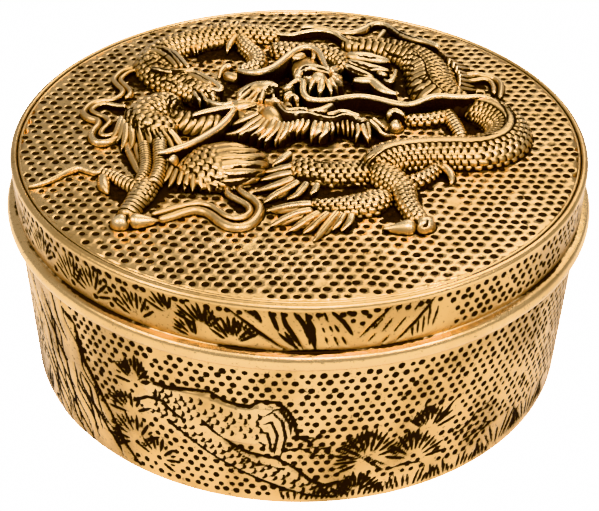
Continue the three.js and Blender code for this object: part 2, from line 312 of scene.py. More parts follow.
# %% The lathe
def turn(name, profile, steps, material, start=0.0, sweep=360.0):
    """A section given as (radius, height) pairs, closed on itself or on the axis, spun round."""
    mesh = bpy.data.meshes.new(name)
    across, along = math.cos(math.radians(start)), math.sin(math.radians(start))
    ring = [(r * MM * across, r * MM * along, z * MM) for r, z in profile]
    closed = sweep >= 360 and profile[0][0] > 0
    edges = [(i, i + 1) for i in range(len(ring) - 1)]
    if closed or sweep < 360:
        edges.append((len(ring) - 1, 0))
    mesh.from_pydata(ring, edges, [])
    piece = bpy.data.objects.new(name, mesh)
    bpy.context.collection.objects.link(piece)
    clear_selection()
    bpy.context.view_layer.objects.active = piece
    piece.select_set(True)
    bpy.ops.object.mode_set(mode="EDIT")
    bpy.ops.mesh.select_all(action="SELECT")
    if sweep < 360:
        bpy.ops.mesh.edge_face_add()
        bpy.ops.mesh.duplicate()
        bpy.ops.transform.rotate(value=-math.radians(sweep), orient_axis="Z", center_override=(0, 0, 0))
        bpy.ops.mesh.select_all(action="SELECT")
        bpy.ops.object.mode_set(mode="OBJECT")
        half = len(mesh.vertices) // 2
        for index, vertex in enumerate(mesh.vertices):
            vertex.select = index < half
        for index, edge in enumerate(mesh.edges):
            edge.select = all(v < half for v in edge.vertices)
        for index, polygon in enumerate(mesh.polygons):
            polygon.select = all(v < half for v in polygon.vertices)
        bpy.ops.object.mode_set(mode="EDIT")
    bpy.ops.mesh.spin(steps=steps, angle=math.radians(sweep), center=(0, 0, 0), axis=(0, 0, 1))
    bpy.ops.mesh.select_all(action="SELECT")
    bpy.ops.mesh.remove_doubles(threshold=0.02 * MM)
    bpy.ops.mesh.normals_make_consistent(inside=False)
    bpy.ops.object.mode_set(mode="OBJECT")
    mesh.materials.append(material)
    mesh.polygons.foreach_set("use_smooth", np.ones(len(mesh.polygons), bool))
    return piece


def evenly(low, high, step):
    return np.linspace(low, high, max(2, int(round(abs(high - low) / step)) + 1))


# %% [markdown]
# The chaser's drawing for a wall is kept unrolled, like a strip of paper laid round the box: one
# number for how deep the tool went and one for how much soot stayed in the line. Lines taper as a
# graver's do, and dots are the marks of a round punch. The strip is then read off at every vertex.

# %% The strip of paper
GRID = 0.1
SOOT_AND_SHADE_EDGE = 0.7


def filled(inside, edge=SOOT_AND_SHADE_EDGE):
    """Black at points so far inside the outline of a mark, soot in lines and dots and painted shade in the
    patches. It thins out over the edge's width.
    """
    return np.clip(0.5 + inside / edge, 0, 1)


class Strip:
    """An unrolled drawing, s millimetres round the box from the front and z from low to high."""

    def __init__(self, low, high, half=math.pi * ROUND):
        self.low, self.high, self.half = low, high, half
        self.wide = int(round(2 * half / GRID))
        tall = int(round((high - low) / GRID)) + 1
        self.cut = np.zeros((tall, self.wide), np.float32)
        self.soot = np.zeros((tall, self.wide), np.float32)
        self.lift = np.zeros((tall, self.wide), np.float32)
        self.bare = np.zeros((tall, self.wide), bool)

    def window(self, s0, s1, z0, z1):
        """Index arrays and coordinates of the grid points round a mark."""
        i0 = int(math.floor((s0 + self.half) / GRID))
        i1 = int(math.ceil((s1 + self.half) / GRID)) + 1
        j0 = max(0, int(math.floor((z0 - self.low) / GRID)))
        j1 = min(self.cut.shape[0], int(math.ceil((z1 - self.low) / GRID)) + 1)
        if j1 <= j0:
            return None
        i = np.arange(i0, i1)
        j = np.arange(j0, j1)
        s, z = np.meshgrid(i * GRID - self.half, j * GRID + self.low)
        return np.ix_(j, i % self.wide), s, z

    def line(self, points, width=0.45, depth=0.3, soot=1.0, taper=True):
        points = [np.array(p, float) for p in points]
        total = sum(np.linalg.norm(b - a) for a, b in zip(points, points[1:])) or 1.0
        run = 0.0
        for a, b in zip(points, points[1:]):
            (s0, z0), (s1, z1) = np.minimum(a, b) - width / 2 - 0.4, np.maximum(a, b) + width / 2 + 0.4
            found = self.window(s0, s1, z0, z1)
            length = float(np.linalg.norm(b - a))
            if found is None or length == 0:
                continue
            at, s, z = found
            t = np.clip(((s - a[0]) * (b[0] - a[0]) + (z - a[1]) * (b[1] - a[1])) / length**2, 0, 1)
            away = np.hypot(s - a[0] - t * (b[0] - a[0]), z - a[1] - t * (b[1] - a[1]))
            along = (run + t * length) / total
            half = width / 2 * (np.sqrt(np.clip(4 * along * (1 - along), 0.05, 1)) if taper else 1.0)
            mark = np.clip(1.25 - away / half, 0, 1)
            self.cut[at] = np.maximum(self.cut[at], depth * mark)
            self.soot[at] = np.maximum(self.soot[at], soot * filled(half - away))
            run += length

    def dot(self, s0, z0, radius, depth, soot):
        reach = radius + 0.4
        found = self.window(s0 - reach, s0 + reach, z0 - reach, z0 + reach)
        if found is None:
            return
        at, s, z = found
        away = np.hypot(s - s0, z - z0) / radius
        pit = np.clip(1.15 - away**2.5, 0, 1)
        self.cut[at] = np.maximum(self.cut[at], depth * pit)
        self.soot[at] = np.maximum(self.soot[at], soot * filled((1 - away) * radius))
        self.lift[at] = np.maximum(self.lift[at], 0.05 * np.exp(-(((away - 1.25) / 0.2) ** 2)))

    def raised(self, line, lift, soft=0.5):
        """A low ridge along (s, z, half width) points. No dots are punched on it."""
        _, q = smooth_line(line, 0.5)
        pad = q[:, 2].max() + soft
        (s0, z0), (s1, z1) = q[:, :2].min(axis=0) - pad, q[:, :2].max(axis=0) + pad
        at, s, z = self.window(s0, s1, z0, z1)
        inside = np.full(s.shape, -9.0)
        for x, y, half in q:
            inside = np.maximum(inside, half - np.hypot(s - x, z - y))
        step = np.clip(inside / soft + 0.5, 0, 1)
        self.lift[at] = np.maximum(self.lift[at], lift * step * step * (3 - 2 * step))
        self.bare[at] |= inside > -0.3

    def keep_bare(self, s0, z0, radius):
        found = self.window(s0 - radius, s0 + radius, z0 - radius, z0 + radius)
        if found is not None:
            at, s, z = found
            self.bare[at] |= np.hypot(s - s0, z - z0) < radius

    def is_bare(self, s, z):
        j = int(round((z - self.low) / GRID))
        i = int(round((s + self.half) / GRID)) % self.wide
        return j < 0 or j >= self.bare.shape[0] or bool(self.bare[j, i])

    def read(self, layer, s, z):
        """Values of a layer at points, blended between the grid points."""
        x = ((s + self.half) / GRID) % self.wide
        y = np.clip((z - self.low) / GRID, 0, layer.shape[0] - 1.001)
        i, j = np.floor(x).astype(int), np.floor(y).astype(int)
        fx, fy = x - i, y - j
        i1 = (i + 1) % self.wide
        i = i % self.wide
        return (layer[j, i] * (1 - fx) + layer[j, i1] * fx) * (1 - fy) + (
            layer[j + 1, i] * (1 - fx) + layer[j + 1, i1] * fx
        ) * fy


def smooth_line(points, step):
    """A smooth line through rows of numbers, read off at even steps along its first two."""
    p = np.array(points, float)
    p = np.vstack([2 * p[0] - p[1], p, 2 * p[-1] - p[-2]])
    t = np.linspace(0, 1, 24, endpoint=False)[:, None]
    parts = []
    for a, b, c, d in zip(p, p[1:], p[2:], p[3:]):
        second, third = 2 * a - 5 * b + 4 * c - d, 3 * b - a - 3 * c + d
        parts.append(0.5 * (2 * b + (c - a) * t + second * t**2 + third * t**3))
    q = np.vstack(parts + [p[-2][None]])
    run = np.r_[0, np.cumsum(np.hypot(*np.diff(q[:, :2], axis=0).T))]
    u = np.linspace(0, run[-1], max(3, int(run[-1] / step) + 1))
    return u, np.column_stack([np.interp(u, run, q[:, k]) for k in range(q.shape[1])])


def punch_dots(strip, low, high, pitch=2.05, radius=0.68, skip=0.015, wander=0.14):
    """Rows of punch marks that lean and wander as hand work does."""
    rows = int((high - low) / (pitch * 0.86)) + 1
    around = int(2 * math.pi * ROUND / pitch)
    made = 0
    for row in range(rows):
        z = low + (row + 0.5) * (high - low) / rows
        for k in range(around):
            s = (k + 0.5 * (row % 2)) * 2 * math.pi * ROUND / around - math.pi * ROUND
            ds, dz = dice.normal(0, wander, 2)
            if dice.random() < skip or strip.is_bare(s + ds, z + dz):
                continue
            size = radius * dice.uniform(0.82, 1.1)
            strip.dot(s + ds, z + dz, size, dice.uniform(0.22, 0.34), dice.uniform(0.9, 1.0))
            made += 1
    return made


def tuft(strip, root, tips, width=0.5, core=0.3):
    """Needles from one root towards each tip, with the end of a shorter one between each two."""
    root = np.array(root, float)
    tips = [np.array(t, float) for t in tips]
    for tip in tips:
        start = root + (tip - root) * core * dice.uniform(0.75, 1.3)
        strip.line([start, root + (tip - root) * dice.uniform(0.95, 1.05)], width, 0.32)
        middle = root + (tip - root) * 0.55
        strip.keep_bare(middle[0], middle[1], np.linalg.norm(tip - root) * 0.38)
    for a, b in zip(tips, tips[1:]):
        middle = (a + b) / 2 - root
        if np.linalg.norm(b - a) > 1.7:
            strip.line([root + middle * 0.62, root + middle * dice.uniform(0.88, 0.98)], width * 0.8, 0.3)


def needles(strip, s0, z0, reach, first, last, count, width=0.42, core=0.25):
    """A tuft of pine needles cut outwards from a root, angles in degrees from level."""
    for k in range(count):
        angle = math.radians(first + (last - first) * (k + 0.5) / count + dice.normal(0, 2.0))
        r0, r1 = reach * core * dice.uniform(0.7, 1.6), reach * dice.uniform(0.78, 1.05)
        a = (s0 + r0 * math.cos(angle), z0 + r0 * math.sin(angle))
        b = (s0 + r1 * math.cos(angle), z0 + r1 * math.sin(angle))
        strip.line([a, b], width, 0.3)
    mid = math.radians((first + last) / 2)
    strip.keep_bare(s0 + 0.45 * reach * math.cos(mid), z0 + 0.45 * reach * math.sin(mid), reach * 0.72)


# %% [markdown]
# The wall's scene: a leaning pine trunk on the left with long bark grooves, a bough that comes off
# it with crescent bark marks, a feathered bird over the bough, tufts of needles, grass along the
# foot, and dots everywhere else. The back isn't in the photograph, so it repeats the same marks
# more plainly.

# %% Chasing on the wall
wall = Strip(0.0, BOX_TOP)


def bark(strip, line, count, width=0.5, wave=0.25):
    """Long wavy grooves that follow a trunk given as (s, z, half width) points."""
    u, q = smooth_line(line, 0.4)
    way = np.gradient(q[:, :2], axis=0)
    way /= np.linalg.norm(way, axis=1)[:, None]
    for k in range(count):
        place = -0.92 + 1.84 * (k + 0.5) / count + dice.normal(0, 0.03)
        start, stop = sorted(dice.uniform(0, 1, 2))
        stop = min(1.0, max(stop, start + 0.35))
        if k in (0, count - 1):
            start, stop = 0.0, 1.0
        part = slice(int(start * (len(u) - 1)), int(stop * (len(u) - 1)) + 1)
        swing = wave * np.sin(u[part] * dice.uniform(0.4, 0.8) + dice.uniform(0, 6))
        off = place * q[part, 2] + swing
        track = np.column_stack([q[part, 0] - way[part, 1] * off, q[part, 1] + way[part, 0] * off])
        if len(track) > 2:
            strip.line(track[::2], width * dice.uniform(0.8, 1.3), 0.34)


def crescents(strip, line, rows, pitch, size, turned=1.0):
    """Small crescent cuts in rows along a bough or a feathered body."""
    u, q = smooth_line(line, 0.3)
    way = np.gradient(q[:, :2], axis=0)
    way /= np.linalg.norm(way, axis=1)[:, None]
    for k in range(int(u[-1] / pitch)):
        for row in range(rows):
            at = min(len(u) - 1, int((k + 0.5 * (row % 2) + 0.3) * pitch / u[-1] * (len(u) - 1)))
            place = (-0.75 + 1.5 * (row + 0.5) / rows) * q[at, 2]
            side = np.array([-way[at, 1], way[at, 0]])
            centre = q[at, :2] + side * place + dice.normal(0, 0.12, 2)
            arc = []
            for bend in np.linspace(-1.3, 1.3, 6):
                ahead = way[at] * math.cos(bend) * turned + side * math.sin(bend)
                arc.append(centre + ahead * size)
            strip.line(arc, 0.66, 0.28, 1.0)


trunk = [(-62, 36, 9), (-56.5, 24, 9.5), (-51.5, 12, 10), (-44, -2, 10)]
wall.raised(trunk, 0.4)
bark(wall, trunk, 21, 0.72, 0.6)
wall.line([(-51, 32), (-47.9, 29.6), (-45.6, 22), (-42.9, 17.6), (-39.2, 11.4), (-36.3, 5.6),
           (-32.9, 1.6)], 0.8, 0.42, 1.0, taper=False)
bough = [(-29, 20, 2.4), (-23, 17.6, 2.6), (-17, 14, 2.4), (-9, 10.2, 2.3), (-2, 7.4, 2.3), (4, 4.4, 2.0),
         (9.5, 3.6, 1.6)]
wall.raised(bough, 0.3)
crescents(wall, bough, 3, 2.1, 0.8)
bird = [(-28, 24, 1.6), (-24, 22.6, 3.0), (-19, 21.8, 4.2), (-13, 20.4, 4.3), (-8, 20.2, 4.6),
        (-4.6, 20.6, 4.4)]
wall.raised(bird, 0.4)
crescents(wall, bird, 4, 2.0, 0.8)
for arc in (
    [(-6.4, 22.6), (-4.2, 24.2), (-2.4, 22), (-1.7, 18), (-2.6, 12.9)],
    [(-6.2, 20.8), (-4.4, 21.8), (-3.3, 18.4), (-3.9, 13.1)],
    [(-6.8, 18.8), (-5.2, 18.9), (-4.6, 16), (-4.9, 13.4)], [(-7, 16.8), (-5.8, 15.6), (-6, 13.6)],
    [(-5.2, 25.3), (-2.6, 24.6), (-1, 21.6), (-0.6, 17.6)],
):
    wall.line(arc, 0.7, 0.32)
for part in (
    [(-27.4, 25.5), (-24.1, 25.5), (-20.5, 26.4), (-16, 27), (-13.6, 25.5), (-10.8, 24.9), (-8.4, 24.9),
     (-6.5, 26.4), (-3.3, 26.4), (-1.6, 24.7), (-0.3, 22.3), (0.5, 18), (2.8, 16.5)],
    [(-17.7, 19.6), (-15.2, 17.2), (-12.3, 14.8), (-8.5, 13), (-3.7, 12.2), (-1.8, 11.1), (0.6, 9.3),
     (3, 6.7), (5.9, 5.2), (8.6, 5.7)],
    [(-25, 17.2), (-21.4, 14.8), (-16.3, 11.3), (-11.4, 8.6), (-6.6, 6.2), (-1.8, 4), (3.1, 2.5),
     (7.9, 1.8)],
    [(-32.3, 19.1), (-29.3, 21.4), (-25.9, 21.8)], [(-25.6, 21.6), (-24, 20), (-21.4, 18.4)],
):
    wall.line(part, 0.75, 0.42, 1.0, taper=False)
for part in (
    [(0.2, 17), (1.4, 18.1), (3.8, 17.4), (2.4, 15.6), (5.2, 14.8), (6.9, 15), (5.7, 13.9), (7.4, 12.8)],
    [(-1.8, 14.3), (1, 15), (4.3, 13)], [(-12, 14), (-8, 10.8), (-2, 9.6)],
):
    wall.line(part, 0.5, 0.3, 1.0, taper=False)
# Tufts of needles, each a root and the tips of its needles
for root, tips in (
    ((-32.1, 23.2), ((-37.3, 22.8), (-37, 26.6), (-35.4, 28), (-34.1, 29.2), (-31.6, 30.9), (-29.9, 29.8),
     (-28.6, 28.2), (-28, 25.6))),
    ((-33.4, 15), ((-39.7, 14.1), (-39.8, 17), (-38.3, 19), (-36.4, 20.2), (-33.6, 20.6), (-31, 20.2),
     (-28.8, 18.6))),
    ((-32.8, 8), ((-38.8, 4.6), (-40.2, 7), (-39.6, 10), (-38, 12.6), (-35.6, 14.6), (-32.5, 15),
     (-29.6, 14), (-27.2, 11.6))),
    ((-28, 5.4), ((-33, 7.3), (-31.6, 9.8), (-29.4, 11.3), (-26.6, 11.3), (-24.3, 9.4), (-23, 6.6),
     (-24.5, 3.4))),
    ((14.3, 10.8), ((8.2, 8), (7.4, 10.4), (7.6, 12.6), (8.4, 15), (9.8, 17), (11.6, 18.3), (13.6, 19),
     (15.8, 18.6), (18, 17.2), (19.8, 15), (20.6, 12.4))),
    ((24, 8.2), ((17.8, 10.6), (18.6, 13.4), (20.2, 15.4), (22.2, 16.6), (24.4, 16.4), (26.6, 15),
     (28.6, 13), (30.2, 10.6), (31, 8))),
    ((26.9, 14.6), ((22.2, 19), (23.4, 20.8), (25.4, 22), (27.4, 21.6), (29.4, 19.8), (31, 18),
     (32.2, 20.6), (32.8, 16))),
    ((12.4, 1.8), ((7.8, 3.6), (8.4, 5.8), (9.7, 7.2), (11.4, 8), (13, 8), (14.6, 7.2), (16.2, 5.8),
     (17.6, 4))),
):
    tuft(wall, root, tips, 0.85)
for line in (
    [(33.4, 11), (36.4, 12.1), (38.7, 14.8)], [(34.4, 7.4), (38.1, 8.7), (42.1, 9.8)],
    [(36, 5.6), (40.8, 8.5), (45.2, 9.4)], [(12.2, 12.2), (13.6, 10.8), (17.6, 7.2)],
    [(13.2, 12.4), (15.2, 10.4), (18.4, 8.2)], [(18, 7), (22, 7.6), (26, 6.6)],
):
    wall.line(line, 0.6, 0.32)


def round_the_wall(angle):
    """Millimetres round the box from the front for an angle in degrees from 0 to 360."""
    return (angle if angle < 180 else angle - 360) * math.pi * ROUND / 180


def grass(strip, s0, s1, foot, tall, pitch=1.05, lean=0.3):
    """Short upright cuts along the foot, in bunches."""
    for s in np.arange(s0, s1, pitch):
        height = tall * dice.uniform(0.45, 1.0)
        tilt = lean * math.sin(s * 0.55) + dice.normal(0, 0.08)
        strip.line([(s, foot), (s + tilt * height, foot + height)], 0.68, 0.3)
        strip.keep_bare(s, foot + height * 0.4, height * 0.55)


grass(wall, -2, 44, 1.0, 4.6)
grass(wall, 44, 66, 2.0, 7.5, 0.9, 0.6)
grass(wall, -92, -64, 1.5, 9, 0.9, 0.5)
for s0, z0 in ((34, 12), (38, 10.2), (41, 14.5)):
    wall.line([(s0 + 1.6 * math.cos(a), z0 + 0.8 * math.sin(a)) for a in np.linspace(0, 6, 9)],
              0.35, 0.22)
for angle in range(90, 271, 30):
    needles(wall, round_the_wall(angle), 8 + 5 * (angle // 30 % 3), 6.8, -30, 210, 18, 0.5)
grass(wall, 96, 182, 1.0, 4.6)
grass(wall, -182, -96, 1.0, 4.6)
made = punch_dots(wall, 1.6, 33.8)
print("dots on the wall", made)

# %% [markdown]
# The lid's band is chased in the same hand: tufts of needles on the left, slanting bark in the
# middle, strips with short dashes to the right of it, and dots for the rest. Black wax lies thick
# along the foot of the band, just above the bead.

# %% Chasing on the band
band = Strip(38.0, 49.5)
for root, tips in (
    ((-11.3, 39.3), ((-15.4, 42), (-14.6, 44.3), (-13.3, 45), (-12.3, 45.8), (-11, 45.9), (-9.3, 45.4),
     (-7.6, 44.1), (-6.4, 42.6))),
    ((-16.3, 41.6), ((-22.4, 44.2), (-21.8, 46), (-20.4, 46.8), (-19, 47.2), (-17.8, 47.2), (-16.3, 47.2),
     (-14.8, 46.4), (-13.4, 45.2))),
    ((-23.2, 43), ((-28.2, 45), (-26.8, 47.4), (-25.4, 47.8), (-24.2, 47.6), (-23, 47.2))),
    ((-18, 39), ((-23, 40.6), (-22.6, 42.6), (-20.4, 43.4), (-18.6, 43.4))),
    ((-30, 39.4), ((-35.4, 41.6), (-34.2, 44), (-32.2, 45.6), (-30, 46.2), (-27.8, 45.2), (-26.4, 42.8))),
    ((-40.5, 40), ((-46.5, 42), (-45.4, 44.6), (-43.4, 46.4), (-41, 47.2), (-38.6, 46.8), (-36.6, 44.8),
     (-35.6, 42))),
    ((-46, 39.2), ((-52, 42.4), (-50.4, 45.2), (-48, 46.8), (-45.4, 47), (-43.2, 45.4))),
    ((-57, 39.4), ((-61.4, 43.4), (-60, 46), (-57.8, 47.4), (-55.4, 47.2), (-53.4, 45.6), (-52.4, 43))),
):
    tuft(band, root, tips, 0.72)
for line, width in (
    ([(-12.8, 47.8), (-8.8, 44.7), (-1.9, 38.9)], 0.5),
    ([(-11.1, 46.6), (-6.4, 42.3), (-1.6, 38.9)], 0.45),
    ([(-9.7, 47.9), (-7.6, 46.4), (-6.1, 44.8)], 0.4), ([(-7.6, 48), (-6.1, 45)], 0.7),
    ([(-4.9, 48.1), (-4, 45.6), (-3.2, 43.2)], 0.8), ([(-2.8, 47.9), (-1.9, 44.9), (1, 39.5)], 0.8),
    ([(-0.8, 48), (1.4, 44.6), (2.2, 41.2)], 0.7), ([(1.5, 47.6), (2.7, 43.9), (3.3, 39.3)], 0.95),
    ([(-3.4, 43), (-1.6, 41.1), (0.4, 39.3)], 0.6), ([(-2.2, 43.4), (-0.1, 39.7)], 0.5),
    ([(0.2, 47.4), (2, 43.6), (2.4, 40)], 0.5), ([(5.8, 48), (8.3, 45.1), (10, 41.9)], 0.75),
    ([(3.4, 48), (3.9, 45.7)], 0.4), ([(4.6, 48), (5.5, 45.3)], 0.45), ([(4.4, 44.4), (4.9, 43)], 0.35),
    ([(5.7, 44.6), (6.4, 42.8)], 0.4), ([(6.6, 44.8), (7.5, 42.8)], 0.4), ([(5, 42.2), (5.6, 40)], 0.35),
    ([(6.6, 42), (7.4, 39.9)], 0.4), ([(8, 42), (8.9, 39.8)], 0.4),
    ([(17.4, 48), (14.1, 44.7), (11.2, 41.3)], 0.55), ([(25.4, 48), (21.9, 43.4), (18.2, 39.5)], 0.6),
    ([(18.7, 47.8), (17.8, 45.9)], 0.35), ([(20.6, 47.9), (19.4, 45.9)], 0.4),
    ([(22.6, 47.9), (21, 45.4)], 0.4), ([(17.2, 44.9), (15.2, 41.9)], 0.4),
    ([(14.2, 42), (12.7, 40)], 0.35), ([(19.8, 44.7), (17.4, 41.4)], 0.4),
    ([(16.8, 41), (15.3, 39.2)], 0.35), ([(15.6, 45.4), (13.4, 42.6)], 0.35),
    ([(24.3, 47.3), (24.1, 40.9)], 0.4), ([(23.2, 43.8), (23.1, 40)], 0.4),
    ([(22.1, 43.4), (22.1, 39.9)], 0.4), ([(21, 42.5), (21.1, 39.8)], 0.4),
    ([(26, 45.6), (25, 40.6)], 0.4),
):
    band.line(line, width * 1.25, 0.42)
for s0, z0 in (
    (9.1, 47.3), (11.7, 47.2), (14.3, 47.2), (12.8, 46), (9.9, 45.3), (11.6, 44.5), (-21.9, 47.2),
    (-19.6, 47.6), (-29.6, 47.4), (-33.4, 47), (-36.4, 47.3),
):
    band.dot(s0, z0, 0.55, 0.3, 1.0)
for s0 in range(-26, 28, 3):
    band.keep_bare(s0, 42, 4.6)
for angle in range(70, 291, 22):
    needles(band, round_the_wall(angle), 39.4, 7, 30, 150, 12)
made = punch_dots(band, 39.6, 47.8, 2.0, 0.66, 0.03, 0.16)
print("dots on the band", made)

# %% [markdown]
# The box itself is turned in two halves, front and back, that meet where they can't be seen from
# the front. Each is a closed shell: the chased wall outside, the ring that the lid slips over, the
# plain inside, the floor and the flat underside.

# %% Box
def box_section(step):
    wall_z = evenly(0.9, BOX_TOP - 0.35, step)
    outer = [(BOX_FOOT_RADIUS + (BOX_TOP_RADIUS - BOX_FOOT_RADIUS) * z / BOX_TOP, z) for z in wall_z]
    foot = [(0, 0), (30, 0), (52, 0), (55.2, 0), (55.9, 0.12), (56.3, 0.45)]
    top = [(57.9, BOX_TOP - 0.1), (57.6, BOX_TOP), (56.6, BOX_TOP), (LIP_OUTER, BOX_TOP),
           (LIP_OUTER, 37.0), (LIP_OUTER, LIP_TOP - 0.3), (LIP_OUTER - 0.3, LIP_TOP),
           (LIP_INNER + 0.3, LIP_TOP), (LIP_INNER, LIP_TOP - 0.3)]
    inside = [(LIP_INNER, 33.5), (55.4, 31.0), (54.9, 18), (54.3, 4.4), (53.9, 3.2), (53.0, 2.6),
              (51.6, BOX_FLOOR), (30, BOX_FLOOR), (0, BOX_FLOOR)]
    return foot + outer + top + inside


def chase(piece, strip, low, high, round_at):
    """Works the strip's drawing into the points whose place is on the outer wall."""
    points = points_of(piece)
    radius = np.hypot(points[:, 0], points[:, 1])
    angle = np.arctan2(points[:, 0], -points[:, 1])
    s, z = angle * ROUND, points[:, 2]
    outer = (z > low) & (z < high) & (radius > round_at)
    ease = np.clip(np.minimum(z - low, high - z) / 0.4, 0, 1) * outer
    push = (strip.read(strip.lift, s, z) - strip.read(strip.cut, s, z)) * ease
    scale = np.where(radius > 0, (radius + push) / np.maximum(radius, 1e-6), 1)
    points[:, 0] *= scale
    points[:, 1] *= scale
    move_points(piece, points)
    soot = strip.read(strip.soot, s, z) * ease
    rub = strip.read(strip.lift, s, z) * ease
    return points, soot, rub


for name, start, step, columns in (("box_front", 180.0, 0.285, 665), ("box_back", 0.0, 0.42, 430)):
    half = turn(name, box_section(step), columns, wall_brass, start, 180.0)
    points, soot, rub = chase(half, wall, 0.8, BOX_TOP - 0.3, 55.9)
    z = points[:, 2]
    inner = np.hypot(points[:, 0], points[:, 1]) < 55.5
    # Painted shade: darker just under the bead's overhang and along the foot.
    shade = 0.35 * np.clip(1 - (BOX_TOP - z) / 1.2, 0, 1) + 0.3 * np.clip(1 - z / 1.5, 0, 1)
    # Painted light: the wall is lighter toward the front of the box and darker at its sides.
    front = -points[:, 1] / np.maximum(np.hypot(points[:, 0], points[:, 1]), 1e-6)
    front_lit = 0.12 + 0.38 * np.clip(front, 0, 1) ** 2
    leave_numbers(half, grime=np.maximum(soot, shade) + 0.12 * inner, rub=front_lit + 0.25 * rub)
    put_in_frame(half, "box_body")

# %% [markdown]
# The lid's ring is one closed section: the rim that frames the field, the chased band, the smooth
# bead that overhangs the wall, and the plain inside that slips over the box.

# %% Lid ring
def bead_arc(count):
    """The bead's round, from the band's foot down to the seam."""
    mid = (SEAM + BAND_FOOT) / 2
    tall = (BAND_FOOT - SEAM) / 2
    out = []
    for angle in np.linspace(72, -75, count):
        a = math.radians(angle)
        radius = BAND_FOOT_RADIUS + BEAD_REACH * 0.45 + BEAD_REACH * 0.55 * math.cos(a)
        out.append((radius, mid + tall * math.sin(a)))
    return out


band_z = evenly(BAND_FOOT + 0.35, CREST - 1.25, 0.31)
band_spread = BAND_TOP_RADIUS - BAND_FOOT_RADIUS
band_line = [(BAND_FOOT_RADIUS + band_spread * (z - BAND_FOOT) / 10, z) for z in band_z]
rim_line = [(BAND_TOP_RADIUS + 0.02, CREST - 0.9), (BAND_TOP_RADIUS - 0.05, CREST - 0.6),
            (BAND_TOP_RADIUS - 0.2, CREST - 0.32), (BAND_TOP_RADIUS - 0.45, CREST - 0.12),
            (BAND_TOP_RADIUS - 0.75, CREST - 0.02), (57.4, CREST), (57.25, CREST - 0.05),
            (57.12, CREST - 0.25), (57, CREST - 0.5), (56.86, CREST - 0.5), (56.74, CREST - 0.3),
            (56.64, FIELD - 0.04), (56.5, FIELD), (PLATE_RADIUS, FIELD)]
inside_line = [(PLATE_RADIUS, CEILING), (LID_INNER, CEILING), (LID_INNER, 42), (LID_INNER, 38),
               (LID_INNER, SEAM + 0.2), (LID_INNER + 0.2, SEAM), (57.6, SEAM), (58.4, SEAM + 0.03)]
groove = [(BAND_FOOT_RADIUS + 0.25, BAND_FOOT - 0.02), (BAND_FOOT_RADIUS - 0.12, BAND_FOOT + 0.1)]
section = inside_line + bead_arc(15)[::-1] + groove + band_line + rim_line
ring = turn("lid_ring", section, 1100, lid_brass)
points, soot, rub = chase(ring, band, BAND_FOOT + 0.25, CREST - 1.0, 57.4)
z = points[:, 2]
radius = np.hypot(points[:, 0], points[:, 1])
angle = np.arctan2(points[:, 0], -points[:, 1])
uneven = 0.5 + 0.25 * np.sin(angle * 7.3 + 1) + 0.25 * np.sin(angle * 17 + 2 * np.sin(angle * 5))
outside = radius > 57
in_front = np.clip(1.2 - np.abs(angle + 0.15) / 0.6, 0.1, 1)
wax = (0.3 + 0.5 * uneven) * np.exp(-(((z - BAND_FOOT - 0.1) / 0.4) ** 2)) * outside * (radius < 58.7)
wax += 0.5 * np.exp(-(((z - BAND_FOOT - 0.6) / 0.7) ** 2)) * outside * uneven * in_front
line = np.exp(-(((radius - 56.93) / 0.2) ** 4)) * (z > FIELD - 1)
under = 0.5 * (z < SEAM + 0.25) + 0.15 * (radius < 56.2)
worn = np.where(z > BAND_FOOT + 0.3, 0.9 * rub, 0.55) + 0.5 * (z > CREST - 0.9)
leave_numbers(ring, grime=np.maximum.reduce([soot, wax, line, under]), rub=worn)
put_in_frame(ring, "lid")


# %% [markdown]
# The dragon is built of strokes. Each is a ridge along a smooth line, given by a few points with a
# half width and a height, as a wax modeller lays rolls of wax on the lid. A skin then works the
# surface: scales as rows of staggered crescents, ribs across a belly, grooves along hair. A stroke
# is a closed shape whose foot goes a little into the field.

# %% Skins
def mark(value, pitch=1.4, half=0.2):
    """A groove where value crosses whole numbers, and the soot in it that thins out beside it."""
    near = np.abs(value - np.round(value)) * pitch
    return np.exp(-((near / 0.28) ** 2)), filled(half - near, 0.55)


def scaled(length=1.4, width=2.6, lift=0.3, crest=0.0, belly=None, pitch=1.5, fat=0.3):
    """Scales as a chaser cuts them: staggered black crescents, each with a small dome behind it."""

    def skin(u, v, t):
        relief = np.zeros(np.broadcast(u, v).shape)
        soot = np.zeros_like(relief)
        bow = 0.31 * width
        press = bow / (0.6 * length)
        for odd in (0.0, 0.5):
            p, q = u / length + odd, v / width + odd
            i, j = np.floor(p), np.floor(q)
            wander = np.sin(i * 12.9 + j * 78.2 + odd * 9) * 0.07
            a = ((p - i - 0.5 + wander) * length + 0.25) * press
            b = (q - j - 0.5 - wander) * width
            away = np.hypot(a, b)
            thick = fat * (1.15 - 1.3 * (b / bow) ** 2)
            ahead = np.clip((a + 0.15) / 0.3, 0, 1)
            beside = thick - np.abs(away - bow) / max(1.0, press * 0.7)
            groove = np.clip(1 + beside / 0.2, 0, 1) * ahead
            relief += lift * 0.2 * np.clip(1 - (away / bow) ** 2, 0, 1) - lift * 0.8 * groove
            soot = np.maximum(soot, filled(beside, 0.5) * ahead)
        if crest:
            keep = np.clip((np.abs(v) - crest) / 0.2, 0, 1)
            relief = relief * keep + lift * 0.8 * (1 - keep)
            soot = soot * keep + np.clip(0.75 - np.abs(np.abs(v) - crest - 0.12) / 0.5, 0, 1)
        if belly is not None:
            side, start = belly
            plate = np.clip((side * t - start) / 0.06, 0, 1)
            ribs, black = mark(u / pitch, pitch, 0.24)
            relief = relief * (1 - plate) + plate * lift * (0.8 - 1.3 * ribs)
            soot = soot * (1 - plate) + plate * black
            soot = np.maximum(soot, 0.9 * np.exp(-(((side * t - start) / 0.05) ** 2)))
        return relief, np.clip(soot, 0, 1)

    return skin


def ribbed(pitch=1.3, depth=0.3, half=0.18):
    def skin(u, v, t):
        ribs, black = mark((u + 0.25 * v * v / 4) / pitch, pitch, half)
        return -depth * ribs + 0 * v, black + 0 * v

    return skin


